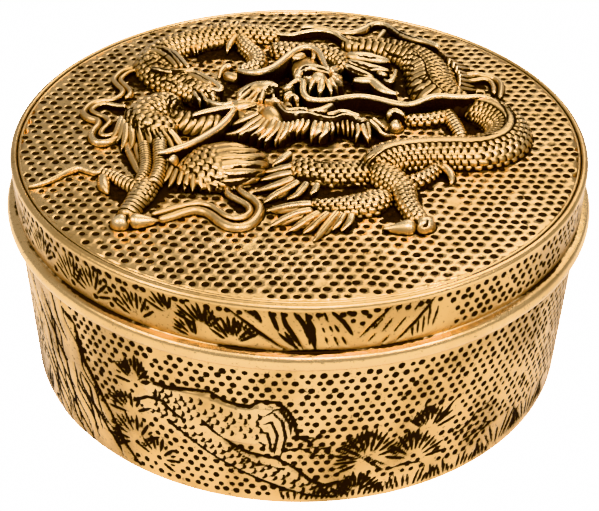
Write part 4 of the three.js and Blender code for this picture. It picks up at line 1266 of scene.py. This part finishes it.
# %% Ribbons
for ribbon in (
    [(134, 67, 0.5, 1.2), (122, 70.5, 0.6, 1.3), (116, 75.5, 0.65), (114, 80), (118, 85), (122.5, 90),
     (120, 95), (112, 99), (101, 100, 0.7), (92, 102.5), (86, 107, 0.75), (83.5, 112, 0.8),
     (89, 116.5, 0.85), (97.5, 119.5), (97.5, 124, 0.8), (93, 129.5), (91.5, 135, 0.85), (95.5, 140, 0.9),
     (104, 141, 0.85), (114, 138.5, 0.8, 1.2), (124, 133.5, 0.5, 1.1)],
    [(139, 69.5, 0.4, 1.2), (131, 71, 0.5), (124, 75, 0.55, 1.3), (120.8, 79.5, 0.6), (124.5, 84, 0.65),
     (129.5, 89, 0.75), (130, 93.5), (125, 98, 0.5, 1.1)],
    [(127, 106, 0.5, 1.3), (117, 105, 0.6), (105, 103), (96, 105.5), (91.8, 109.8), (97, 113.5),
     (105, 116.5, 0.65), (109.5, 120.5, 0.7), (106.5, 125, 0.6, 1.2), (102, 129.5), (101.5, 134),
     (108, 135, 0.55), (117, 132, 0.5, 1.1), (125, 129, 0.4)],
    [(28, 187, 0.4, 0.6), (38, 184, 0.55, 0.9), (50, 179.5, 0.6, 1), (60, 174.5, 0.65, 1.1),
     (70, 169.5, 0.7), (79, 167), (88, 169.5), (97, 171.5, 0.65, 1.2), (104, 167, 0.5, 1.3)],
    [(129, 141, 0.5, 1.2), (127.5, 147, 0.7, 1.4), (131, 155, 0.8, 1.5), (135, 163), (138, 170, 0.7, 1.4),
     (142, 176, 0.5, 1.3)],
    [(137, 141, 0.5, 1.2), (136, 148, 0.6, 1.3), (138, 156, 0.6, 1.4), (141, 164)],
    [(151, 214, 0.5, 1), (162, 210.5, 0.65, 1.2), (175, 206.5, 0.7, 1.3), (188, 203.5, 0.7, 1.4),
     (200, 202.5), (210, 204.5), (218, 209), (226, 214.5), (235, 217.3), (244, 215.5, 0.75),
     (249.5, 210.5), (248, 204.5), (240, 199.5), (231, 194.5), (226.5, 189, 0.7), (232, 183, 0.5, 1.3)],
    [(158, 218.5, 0.8, 1.1), (170, 215, 0.9, 1.2), (182, 210.8, 0.9, 1.3), (193, 208.3), (203, 209.3),
     (212, 213.5), (220, 219.5, 1), (230, 224.3, 1.1), (241, 225), (251, 221), (258, 213, 1, 1.4),
     (259.5, 205, 0.95), (254, 197.5, 0.9, 1.5), (245, 192.5, 0.8), (239.5, 187.5, 0.7, 1.4),
     (243, 182, 0.5, 1.3)],
    [(449, 60, 0.6, 1.3), (452, 66, 0.7), (457, 71.5, 0.75), (466, 73.5), (476, 73), (486, 74.8),
     (495, 77.5, 0.75, 1.2), (500.5, 82), (501.5, 88, 0.7), (500, 97, 0.5, 1.1)],
    [(450, 72, 0.5, 1.3), (455, 78.5, 0.6), (463, 81), (473, 80), (483, 78.5), (490, 80.5, 0.6, 1.2),
     (493.5, 86), (494, 93, 0.5)],
    [(272, 33, 0.5, 2), (290, 34.5, 0.6, 2.2), (303, 32), (315, 30, 0.7), (327, 30.5), (337, 33.5, 0.75),
     (345, 38.5, 0.8, 2.1), (354, 42.5, 0.8, 2), (364, 43.8, 0.8, 1.9), (376, 43.5, 0.5, 1.8)],
    [(300, 27.5, 0.5, 1.6), (312, 26.5, 0.6, 1.7), (324, 27.5, 0.7, 1.8), (335, 30), (345, 32, 0.8),
     (355, 31, 0.9), (364, 27.5, 1), (371, 24, 0.8, 1.7), (378, 23, 0.7), (386, 24.5),
     (394, 29.5, 0.8, 1.8), (404, 34.5, 0.9, 2), (415, 38, 1, 2.2), (427, 41, 0.9, 2.4),
     (440, 46, 0.7, 2.6)],
    [(345, 36, 0.5, 1.8), (356, 38.5, 0.6), (366, 38.5), (376, 39.5, 0.5), (381, 34, 0.6, 2),
     (385, 29.5)],
):
    limbs.stroke(drawn(*ribbon, up=1.3), step=0.26)

# %% [markdown]
# Soot gathers wherever the metal lies lower than what is round it, and painted shade darkens every
# point that the carving round it hides from the sky. So the height of all the carving is laid on one
# grid and blurred, and every point is compared with it: below the blurred level it goes dark, soot and
# painted shade together, above it it's rubbed bright, as wear and as painted highlight.

# %% Where the hollows and the painted shade are
CELL = 0.25
SPAN = 60.0
SIDE = int(2 * SPAN / CELL)
TALLEST = 6.5  # a little over the dragon's highest point above the field
SINK_FADE = 0.9  # how far under the level round it a hollow is quite black
level = np.zeros((SIDE, SIDE), np.float32)
for carving in (body, limbs, head, mane):
    carving.points = np.vstack(carving.points)
    carving.soot = np.concatenate(carving.soot)
    i = np.clip(((carving.points[:, 0] + SPAN) / CELL).astype(int), 0, SIDE - 1)
    j = np.clip(((carving.points[:, 1] + SPAN) / CELL).astype(int), 0, SIDE - 1)
    np.maximum.at(level, (j, i), (carving.points[:, 2] - FIELD).astype(np.float32))
# Cells that no point fell on take the middle of their neighbours.
beside = np.stack([np.roll(level, (a, b), (0, 1)) for a in (-1, 0, 1) for b in (-1, 0, 1)])
level = np.maximum(level, np.median(beside, axis=0))


def blurred(grid, radius):
    """Box blur three times over, which is close to a round blur."""
    n = max(1, int(radius / CELL))
    out = grid
    for _ in range(3):
        for axis in (0, 1):
            run = np.cumsum(np.concatenate([np.repeat(np.take(out, [0], axis), n + 1, axis), out,
                                            np.repeat(np.take(out, [-1], axis), n, axis)], axis), axis)
            size = 2 * n + 1
            high = np.take(run, np.arange(size, run.shape[axis]), axis)
            low = np.take(run, np.arange(0, run.shape[axis] - size), axis)
            out = (high - low) / size
    return out


def shut_in(grid, reach=5.0, ways=12):
    """How much of the sky each cell misses because of what stands round it, 0 to 1."""
    lost = np.zeros_like(grid)
    for k in range(ways):
        angle = 2 * math.pi * k / ways
        steepest = np.zeros_like(grid)
        for far in np.arange(0.5, reach, 0.5):
            move = tuple(int(round(far * part / CELL)) for part in (math.sin(angle), math.cos(angle)))
            steepest = np.maximum(steepest, (np.roll(grid, move, (0, 1)) - grid) / far)
        lost += steepest / np.sqrt(1 + steepest**2)
    return lost / ways


near_level = blurred(level, 0.6)
wide_level = blurred(level, 1.6)
shaded = blurred(shut_in(level), 0.25)


def on_grid(grid, points):
    x = np.clip((points[:, 0] + SPAN) / CELL - 0.5, 0, SIDE - 1.001)
    y = np.clip((points[:, 1] + SPAN) / CELL - 0.5, 0, SIDE - 1.001)
    i, j = x.astype(int), y.astype(int)
    fx, fy = x - i, y - j
    top = grid[j, i] * (1 - fx) + grid[j, i + 1] * fx
    return top * (1 - fy) + (grid[j + 1, i] * (1 - fx) + grid[j + 1, i + 1] * fx) * fy


def hollow(points):
    """(how dark each point goes, from soot in hollows and painted shade where the carving hides the sky,
    how far it stands out), both 0 to 1.
    """
    height = points[:, 2] - FIELD
    top = on_grid(level, points)
    close = (on_grid(near_level, points) - height) / SINK_FADE
    under = (top - height - 0.4) / SINK_FADE
    # Painted shade: a point that the carving round it hides from the sky goes dark.
    dark = (on_grid(shaded, points) - 0.44) / 0.4
    sink = np.clip(np.maximum.reduce([close, under, dark]), 0, 1)
    out = np.clip((height - on_grid(wide_level, points)) / 1.4, 0, 1)
    return sink, out


# %% [markdown]
# The fine lines are cut last. They are drawn on the picture too, and each point goes down its line
# of sight until it meets the metal. The patches of painted shade, black as soot, are drawn in the
# same way, as outlines on the field.

# %% Fine lines and patches of painted shade
sheet = Strip(-SPAN, SPAN, SPAN)


def on_metal(points):
    """Where the lines of sight through picture points meet the carving."""
    path = []
    for a, b in zip(points, points[1:]):
        count = max(1, int(math.hypot(b[0] - a[0], b[1] - a[1]) / 1.5))
        way = (b[0] - a[0], b[1] - a[1])
        path += [(a[0] + way[0] * k / count, a[1] + way[1] * k / count) for k in range(count)]
    path.append(points[-1])
    way = sight([p[0] for p in path], [p[1] for p in path])
    place = EYE + way * ((FIELD - EYE[2]) / way[:, 2])[:, None]
    found = np.zeros(len(path), bool)
    for height in np.arange(TALLEST, 0, -0.1):
        here = EYE + way * ((FIELD + height - EYE[2]) / way[:, 2])[:, None]
        met = ~found & (on_grid(level, here) >= height)
        place[met] = here[met]
        found |= met
    return place[:, :2]


def cut_lines(lines, width=0.5, depth=0.25):
    for points in lines:
        sheet.line(list(on_metal(points)), width, depth)


def painted_shade_patch(outline, strength=1.0):
    """Fills an outline drawn on the field with painted shade, black as soot, that thins out at its edge."""
    way = sight([p[0] for p in outline], [p[1] for p in outline])
    ring = (EYE + way * ((FIELD + 0.3 - EYE[2]) / way[:, 2])[:, None])[:, :2]
    (x0, y0), (x1, y1) = ring.min(axis=0) - 1, ring.max(axis=0) + 1
    at, x, y = sheet.window(x0, x1, y0, y1)
    inside = np.zeros(x.shape, bool)
    away = np.full(x.shape, 9.0)
    for a, b in zip(ring, np.roll(ring, -1, axis=0)):
        crosses = (a[1] > y) != (b[1] > y)
        if a[1] != b[1]:
            inside ^= crosses & (x < (b[0] - a[0]) * (y - a[1]) / (b[1] - a[1]) + a[0])
        length = max(1e-6, (b[0] - a[0]) ** 2 + (b[1] - a[1]) ** 2)
        t = np.clip(((x - a[0]) * (b[0] - a[0]) + (y - a[1]) * (b[1] - a[1])) / length, 0, 1)
        away = np.minimum(away, np.hypot(x - a[0] - t * (b[0] - a[0]), y - a[1] - t * (b[1] - a[1])))
    fill = filled(np.where(inside, away, -away)) * strength
    sheet.lift[at] = np.maximum(sheet.lift[at], fill)


cut_lines((
    # Nape and mane on the upper left
    [(149, 47), (156, 47), (163, 49), (170, 54), (175, 60), (178, 64)],
    [(170, 49), (175, 54), (180, 60), (183, 64)], [(173, 48), (178, 52), (184, 58), (190, 64)],
    [(155, 44), (163, 44), (170, 47)], [(140, 58), (146, 55), (152, 53), (157, 55)],
    [(141, 64), (147, 61), (153, 58), (158, 60)],
    [(142, 69), (150, 64.5), (157, 62), (163, 65), (170, 65)],
    [(150, 67), (158, 67), (165, 69), (173, 70), (185, 70.5)],
    [(157, 62), (162, 57), (168, 54), (173, 56)], [(145, 75), (152, 71.5), (158, 72.5)],
    [(150, 79), (158, 76), (164, 74), (170, 77)], [(160, 82), (166, 80), (172, 82), (177, 87)],
    [(171, 75), (175, 71.5), (181, 71)], [(176, 80), (182, 75), (190, 73)],
    [(182, 84), (190, 79), (197, 80)], [(188, 71), (199, 75), (209, 81)],
    [(192, 87), (198, 92), (204, 99)], [(205, 89), (208, 94), (212, 100)],
    [(200, 104), (194, 108), (191, 114), (194, 120)], [(196, 101), (188, 105), (184, 112), (184, 118)],
    [(190, 100), (182, 104), (178, 110), (178, 117)], [(184, 99), (177, 103), (173, 109), (174, 117)],
    [(178, 97), (171, 101), (168, 106), (170, 113)], [(172, 94), (167, 99), (166, 103)],
    [(165, 113), (158, 110), (152, 105), (150, 101)], [(178, 118), (168, 116), (160, 113)],
    # Shoulder
    [(125, 120), (126, 113), (130, 105), (136, 99)], [(129, 124), (130, 115), (134, 107)],
    [(133, 130), (133, 121), (136, 112)], [(138, 134), (137, 125), (139, 117)],
    [(144, 137), (141, 128), (142, 119)], [(150, 138), (146, 130), (146, 122)],
    [(156, 139), (151, 132), (150, 125)], [(162, 140), (157, 133), (154, 127)],
    [(168, 140), (163, 134), (159, 128)], [(174, 139), (169, 134), (164, 129)],
    # Chest
    [(228, 145.5), (245, 147.5), (258, 146), (272, 143.5)],
    [(226, 152), (240, 153), (256, 152), (268, 149)], [(240, 159.5), (255, 160), (266, 157)],
    [(232, 167), (245, 167.5), (262, 165)], [(222, 173), (233, 176.5), (248, 175.5), (262, 171)],
    [(213, 178), (222, 182), (232, 184.5), (246, 180), (254, 177)],
    [(236, 142), (250, 142.5), (262, 141)], [(184, 183), (189, 191)], [(195, 183), (203, 192)],
    [(207, 182), (216, 189), (226, 191)], [(174, 183), (181, 191)],
    # Face
    [(251, 86), (245.5, 90), (240.5, 94.5)], [(254.5, 87.5), (250.5, 93), (246.5, 98)],
    [(260.5, 91), (258, 96), (255.5, 100)], [(266, 96), (266, 91), (268.5, 86.5), (272, 84.5)],
    [(268, 97), (271.5, 88.5), (277, 88.5), (280.5, 93), (279, 97)], [(282.5, 87.5), (285, 88)],
    [(291.5, 96), (293, 99), (291, 101)], [(276, 101), (277, 106), (282, 111), (288, 114), (298, 113.5)],
    [(300, 114), (312, 115), (325, 118.5), (335, 119), (343, 116.5), (349, 116), (356, 119), (363, 121)],
    [(283, 103), (287, 106.5), (292, 107)], [(296, 109.5), (306, 110.5), (316, 112), (326, 115)],
    [(327, 110), (334, 106.5), (340, 105)], [(248, 107.5), (255, 107), (260, 107)],
    [(244, 112), (250, 109.5), (258, 110)], [(300, 70), (304, 66.5), (309, 66)],
    [(305, 68), (303, 72), (306, 75.5), (312, 74)], [(316, 67), (323, 68.5), (329, 71)],
    # Ribs of the neck beside the mane, and its shaded edge
    [(401, 60), (408, 59), (416, 60)], [(401, 66), (409, 65), (417, 67)],
    [(401, 70.5), (409, 70), (416, 71)], [(401, 76.5), (409, 76), (414, 77)],
    [(402, 82), (409, 82), (415, 82)], [(404, 87), (411, 88), (418, 85)],
    [(411, 94), (418, 92), (424, 88)], [(417, 78), (423, 79), (430, 73)],
    [(418, 84), (425, 82), (431, 76)], [(400, 57), (406, 54.5), (413, 54), (420, 57), (425, 60)],
    [(437, 50), (441, 56), (446, 63), (449, 70)], [(383, 48), (390, 54), (398, 57), (404, 56)],
    [(385, 42), (387, 36), (391, 31)], [(389, 44), (393, 37), (397, 33)],
    [(393, 48), (399, 41), (403, 37)], [(399, 51), (405, 45), (409, 41)],
    [(404, 54), (410, 48), (414, 44)], [(340, 34), (347, 38.5), (355, 41), (364, 42)],
    [(371, 24), (370, 30), (374, 35)], [(379, 25), (386, 28.5), (394, 34), (403, 40)],
    [(390, 25), (400, 32), (410, 36), (422, 39)],
    # Leaf edges in the flames
    [(349, 60), (359, 64), (370, 67.5), (380, 67.5)], [(346, 67), (356, 71), (368, 75)],
    [(360, 50), (370, 52), (382, 56)], [(356, 55), (368, 57), (378, 58)],
    [(374, 75), (380, 81), (388, 87), (396, 91)],
    # Rings on the claws, folds on the tail and the crest of the coil
    [(129, 213), (126.5, 219), (127, 224)], [(415, 219), (418, 223), (416, 228)],
    [(428, 219), (427, 225), (422, 228)],
    [(489, 93), (497, 99), (504, 107), (507.5, 114), (507, 121), (502, 128)],
    [(498, 95), (507, 104), (514, 113), (516, 122), (511, 130)], [(470, 137), (485, 135.5), (497, 133)],
    [(296, 179.5), (305, 180), (318, 179), (325, 181)], [(331, 184), (336, 189), (345, 186), (352, 182)],
    [(303, 151), (309, 156), (316, 161), (330, 163)], [(357, 168), (364, 158), (372, 150)],
    [(361, 169), (367, 161), (375, 154)], [(366, 169), (371, 162), (378, 157)],
), 0.55, 0.3)
# Patches of painted shade in the recesses round the dragon, each an outline and its strength
for outline, strength in (
    ([(197, 45), (201, 38), (208, 35), (215, 35), (222, 40), (229, 51), (236, 42), (240, 33), (243, 40),
     (250, 48), (247, 55), (243, 60), (222, 58), (205, 60), (200, 67), (196, 58)], 1),
    ([(217, 72), (222, 79), (234, 80), (250, 79), (246, 83), (238, 90), (232, 97), (222, 98), (220, 92),
     (222, 86)], 0.75),
    ([(246, 72), (262, 72), (275, 70), (285, 62), (291, 58), (318, 58), (322, 62), (304, 62), (297, 70),
     (290, 80), (282, 84), (279, 78), (266, 74), (254, 78)], 1),
    ([(330, 60), (342, 58), (346, 68), (356, 74), (376, 80), (384, 90), (396, 98), (380, 95), (350, 92),
     (335, 95), (312, 95), (306, 86), (308, 78), (330, 72)], 0.66),
    ([(302, 99), (314, 103), (330, 101), (334, 104), (322, 106), (300, 106)], 1),
    ([(333, 118), (356, 118), (360, 135), (345, 136), (332, 134)], 0.95),
    ([(236, 134), (262, 138), (258, 143), (236, 140)], 1),
    ([(268, 138), (292, 130), (302, 134), (296, 142), (278, 146), (270, 143)], 0.9),
    ([(366, 120), (386, 128), (396, 138), (380, 145), (370, 145), (364, 138)], 0.85),
    ([(460, 110), (480, 110), (485, 122), (482, 132), (468, 134), (460, 128)], 1),
    ([(394, 160), (411, 158), (411, 170), (400, 172), (393, 168)], 1),
    ([(419, 158), (424, 160), (424, 168), (419, 169)], 1),
    ([(430, 172), (440, 169), (448, 178), (449, 184), (440, 180), (430, 187), (421, 193), (423, 184)], 1),
    ([(413, 192), (424, 192), (424, 205), (418, 205), (412, 198)], 0.9),
    ([(380, 190), (388, 192), (396, 205), (403, 216), (398, 222), (387, 222), (380, 214), (370, 210),
     (382, 202)], 0.95),
    ([(320, 182), (326, 184), (331, 190), (340, 191), (352, 184), (366, 187), (376, 186), (352, 195),
     (338, 198), (326, 198), (312, 197), (314, 188)], 1),
    ([(262, 176), (270, 170), (290, 172), (280, 180), (262, 190), (254, 190)], 0.8),
    ([(255, 204), (264, 200), (290, 196), (306, 190), (312, 196), (296, 202), (262, 207), (252, 212)],
     0.9),
    ([(122, 141), (150, 140), (148, 176), (136, 178), (128, 170), (120, 160), (122, 150)], 0.95),
    ([(108, 178), (128, 180), (128, 198), (122, 207), (116, 200), (108, 198)], 0.85),
    ([(167, 160), (172, 164), (175, 182), (184, 192), (170, 193), (160, 202), (148, 211), (134, 213),
     (148, 203), (164, 190), (168, 176)], 1),
    ([(176, 192), (228, 192), (224, 196), (200, 198), (172, 198)], 0.6),
    ([(320, 33), (332, 34), (342, 42), (350, 49), (372, 49), (378, 44), (362, 47), (350, 45), (340, 37)],
     1),
    ([(378, 36), (386, 38), (392, 48), (402, 56), (398, 60), (388, 56), (382, 48)], 0.9),
    ([(396, 58), (402, 57), (400, 70), (402, 84), (409, 95), (402, 98), (397, 88), (394, 72)], 1),
    ([(386, 60), (398, 58), (396, 66), (390, 66)], 0.9),
    ([(412, 103), (424, 100), (444, 101), (456, 106), (446, 106), (430, 108), (420, 112), (414, 108)], 1),
    ([(430, 111), (437, 111), (453, 132), (453, 138), (447, 138), (438, 122)], 1),
    ([(402, 117), (420, 121), (440, 124), (442, 128), (420, 126), (406, 124)], 1),
    ([(416, 128), (440, 128), (450, 138), (430, 138)], 0.6),
    ([(452, 82), (460, 86), (484, 82), (488, 92), (486, 96), (483, 88), (462, 89)], 1),
    ([(124, 72), (138, 70), (146, 84), (140, 92), (134, 90), (126, 80)], 0.7),
    ([(102, 107), (126, 110), (126, 130), (104, 134), (112, 122), (118, 116)], 0.8),
    ([(196, 88), (202, 90), (204, 98), (198, 98)], 1),
    ([(206, 88), (222, 90), (222, 98), (210, 98)], 0.9),
    ([(262, 98), (265, 88), (271, 84.5), (280, 89), (284, 98), (276, 98)], 0.6),
    ([(236, 122), (262, 112), (268, 116), (262, 130), (240, 134)], 0.8),
    ([(282, 120), (330, 120), (332, 132), (300, 134), (282, 132)], 0.9),
    ([(244, 186), (240, 190), (234, 188), (240, 198), (246, 204), (244, 210), (234, 210), (226, 202),
     (226, 196), (236, 184)], 0.9),
):
    painted_shade_patch(outline, 0.85 * strength)
rows, columns = (np.linspace(-SPAN, SPAN, count) for count in sheet.cut.shape)
# The painted shade of the patches stays inside the lid.
sheet.lift *= np.hypot(*np.meshgrid(columns, rows)) < LID_INNER
print("painted_shade share of the field", round(float(sheet.lift.mean()), 3))

# %% [markdown]
# Now each carving becomes a mesh. The fine lines are cut into it, and its grime and shade is the
# blackest of the skin's own soot with the painted shade under cords, the hollows with their soot and
# painted shade, the foot of the stroke, the lines and the patches of painted shade.

# %% Dragon's pieces
for part, carving in (("body", body), ("limbs", limbs), ("head", head), ("mane", mane)):
    x, y, z = carving.points.T
    sink, out = hollow(carving.points)
    height = z - FIELD
    cut_depth = sheet.read(sheet.cut, x, y) * np.clip(height / 0.6, 0, 1)
    below = on_grid(level, carving.points) - height
    drawn_soot = sheet.read(sheet.soot, x, y) * np.clip(1.6 - below / 0.5, 0, 1)
    patch = sheet.read(sheet.lift, x, y) * np.clip(1.2 - height / 1.3, 0, 1)
    foot = np.clip(1 - height / 0.7, 0, 1)
    if carving in (head, mane):
        sink *= 1 - 0.4 * np.clip((height - 2.4) / 1.5, 0, 1)
    carving.points[:, 2] -= cut_depth
    piece = new_piece("lid_dragon_" + part, carving.points, carving.faces, lid_brass)
    # Soot with painted shade from the hollows, the cords and the patches; points that stand out get rub and
    # painted highlight.
    grime = np.maximum.reduce([carving.soot * (1 - 0.15 * out), sink, 0.8 * foot, drawn_soot, patch])
    leave_numbers(piece, grime=grime, rub=0.3 + 0.7 * out)
    put_in_frame(piece, "lid")

# %% [markdown]
# The field is a flat plate with a punched dot every 2.3 mm or so. Each dot is a small round pit with
# a raised lip, set in a six-sided tile whose corners it shares with its neighbours. Where the dragon
# covers the plate the tiles stay plain.

# %% Field
def make_field():
    pitch = 2.28
    high = pitch * math.sqrt(3) / 2
    reach = int(PLATE_RADIUS / high) + 3
    cells = {}
    for row in range(-reach, reach + 1):
        for col in range(-reach, reach + 1):
            x = (col + 0.5 * (row % 2)) * pitch
            y = row * high
            if math.hypot(x, y) < PLATE_RADIUS + pitch * 1.3:
                # Rows that bend a little, as they do when the punch is set by eye
                bend_x = 0.5 * math.sin(y / 6.1 + 0.8) + 0.35 * math.sin(x / 9.5 + y / 13)
                bend_y = 0.45 * math.sin(x / 7.3) + 0.3 * math.sin(y / 11 - x / 8)
                cells[(row, col)] = (x + bend_x + dice.normal(0, 0.19), y + bend_y + dice.normal(0, 0.19))

    def around(row, col):
        odd = row % 2
        steps = ((0, 1), (1, odd), (1, odd - 1), (0, -1), (-1, odd - 1), (-1, odd))
        return [(row + a, col + b) for a, b in steps]

    points, faces, soot = [], [], []
    shared = {}

    def corner(keys):
        key = tuple(sorted(keys))
        if key not in shared:
            p = np.mean([cells[k] for k in keys], axis=0)
            r = np.hypot(*p)
            if r > PLATE_RADIUS - 0.02:
                p = p * PLATE_RADIUS / r
            shared[key] = len(points)
            points.append((p[0], p[1], FIELD))
            soot.append(0.0)
        return shared[key]

    for (row, col), centre in cells.items():
        beside = around(row, col)
        if any(k not in cells for k in beside) or math.hypot(*centre) > PLATE_RADIUS + pitch * 0.35:
            continue
        loop = []
        for k in range(6):
            a, b = beside[k], beside[(k + 1) % 6]
            loop.append(corner([(row, col), a]))
            loop.append(corner([(row, col), a, b]))
        centre = np.array(centre)
        at = np.array([[centre[0], centre[1], FIELD]])
        covered = on_grid(level, at)[0] > 0.6 and on_grid(near_level, at)[0] > 0.6
        if covered or np.hypot(*centre) > PLATE_RADIUS - 0.55 or dice.random() < 0.006:
            faces.append(loop)
            continue
        radius = dice.uniform(0.58, 0.74)
        depth = dice.uniform(0.22, 0.36)
        tone = dice.uniform(0.85, 1.0) if dice.random() > 0.04 else 0.6
        stretch = dice.uniform(0.9, 1.08)
        lean = dice.uniform(0, math.pi)
        middle = len(points)
        points.append((centre[0], centre[1], FIELD - depth))
        soot.append(tone)
        rings = []
        for share, drop, dark in (
            (0.6, depth * 0.9, tone), (0.98, 0.12, tone * 0.95), (1.18, -0.035, 0.12),
        ):
            first = len(points)
            for k in range(12):
                p = np.array([points[loop[k]][0], points[loop[k]][1]]) - centre
                a = math.atan2(p[1], p[0])
                r = radius * share * (1 + (stretch - 1) * math.cos(2 * (a - lean)))
                points.append((centre[0] + r * math.cos(a), centre[1] + r * math.sin(a), FIELD - drop))
                soot.append(dark)
            rings.append(list(range(first, first + 12)))
        for k in range(12):
            n = (k + 1) % 12
            faces.append([middle, rings[0][k], rings[0][n]])
            faces.append([rings[0][k], rings[1][k], rings[1][n], rings[0][n]])
            faces.append([rings[1][k], rings[2][k], rings[2][n], rings[1][n]])
            faces.append([rings[2][k], loop[k], loop[n], rings[2][n]])
    return np.array(points), faces, np.array(soot)


points, faces, soot = make_field()
plate = new_piece("lid_field", points, faces, lid_brass)
sink, out = hollow(points)
patch = sheet.read(sheet.lift, points[:, 0], points[:, 1])
lines = sheet.read(sheet.soot, points[:, 0], points[:, 1]) * 0.9
# The dots' and lines' soot, with painted shade from the hollows and the patches round the dragon.
grime = np.maximum.reduce([soot, np.clip(1.25 * sink, 0, 1), patch, lines])
leave_numbers(plate, grime=grime, rub=np.full(len(points), 0.5))
clear_selection()
bpy.context.view_layer.objects.active = plate
plate.select_set(True)
bpy.ops.object.mode_set(mode="EDIT")
bpy.ops.mesh.select_mode(type="EDGE")
bpy.ops.mesh.select_all(action="DESELECT")
bpy.ops.mesh.select_non_manifold()
bpy.ops.mesh.extrude_edges_move(TRANSFORM_OT_translate={"value": (0, 0, (CEILING - FIELD) * MM)})
bpy.ops.mesh.edge_face_add()
bpy.ops.mesh.select_all(action="SELECT")
bpy.ops.mesh.normals_make_consistent(inside=False)
bpy.ops.object.mode_set(mode="OBJECT")
put_in_frame(plate, "lid")

# %% [markdown]
# The table is plain and white. The light is a pale tent all round, with a lamp high in front that
# makes the carving glint, one on each side that draw the bright streaks along the bead, and a soft
# one over the back that lifts the field.

# %% Table and light
clear_selection()
bpy.ops.mesh.primitive_plane_add(size=6, location=(0, 0, 0))
table = bpy.context.active_object
table.name = "table"
bpy.ops.object.mode_set(mode="EDIT")
bpy.ops.mesh.subdivide(number_cuts=2)
bpy.ops.object.mode_set(mode="OBJECT")
white = bpy.data.materials.new("table white")
white.use_nodes = True
shader = white.node_tree.nodes["Principled BSDF"]
shader.inputs["Base Color"].default_value = (0.6, 0.6, 0.6, 1)
shader.inputs["Roughness"].default_value = 0.9
shader.inputs["Emission Color"].default_value = (1, 1, 1, 1)
shader.inputs["Emission Strength"].default_value = 0.2
# Seen by the camera itself the table is pure white, as in the photograph.
tree = white.node_tree
seen = add_node(tree, "ShaderNodeLightPath", (-400, 300))
bright = add_node(tree, "ShaderNodeEmission", (-400, 100))
bright.inputs["Strength"].default_value = 20
both = add_node(tree, "ShaderNodeMixShader", (200, 100))
tree.links.new(seen.outputs["Is Camera Ray"], both.inputs[0])
tree.links.new(shader.outputs[0], both.inputs[1])
tree.links.new(bright.outputs[0], both.inputs[2])
tree.links.new(both.outputs[0], tree.nodes["Material Output"].inputs["Surface"])
table.data.materials.append(white)

world = bpy.data.worlds.new("tent")
bpy.context.scene.world = world
world.use_nodes = True
world.node_tree.nodes["Background"].inputs["Color"].default_value = (1, 0.985, 0.96, 1)
world.node_tree.nodes["Background"].inputs["Strength"].default_value = 0.48
bpy.context.scene.view_settings.view_transform = "Khronos PBR Neutral"


def lamp(name, azimuth, elevation, far, size, power, aim=(0, 0, 0.03)):
    """A square lamp that looks at the box, azimuth 0 in front and 90 on the right."""
    a, e = math.radians(azimuth), math.radians(elevation)
    flat = far * math.cos(e)
    place = Vector((flat * math.sin(a), -flat * math.cos(a), far * math.sin(e)))
    data = bpy.data.lights.new(name, "AREA")
    data.size = size
    data.energy = power
    thing = bpy.data.objects.new(name, data)
    bpy.context.collection.objects.link(thing)
    thing.location = place
    thing.rotation_euler = (Vector(aim) - place).to_track_quat("-Z", "Y").to_euler()
    return thing


lamp("front left", -58, 45, 0.9, 0.18, 4.2)
lamp("front right", 52, 46, 0.9, 0.18, 4.2)
lamp("front top", 8, 62, 0.9, 0.25, 8.0)
lamp("over the back", 158, 52, 0.9, 0.5, 3.0)
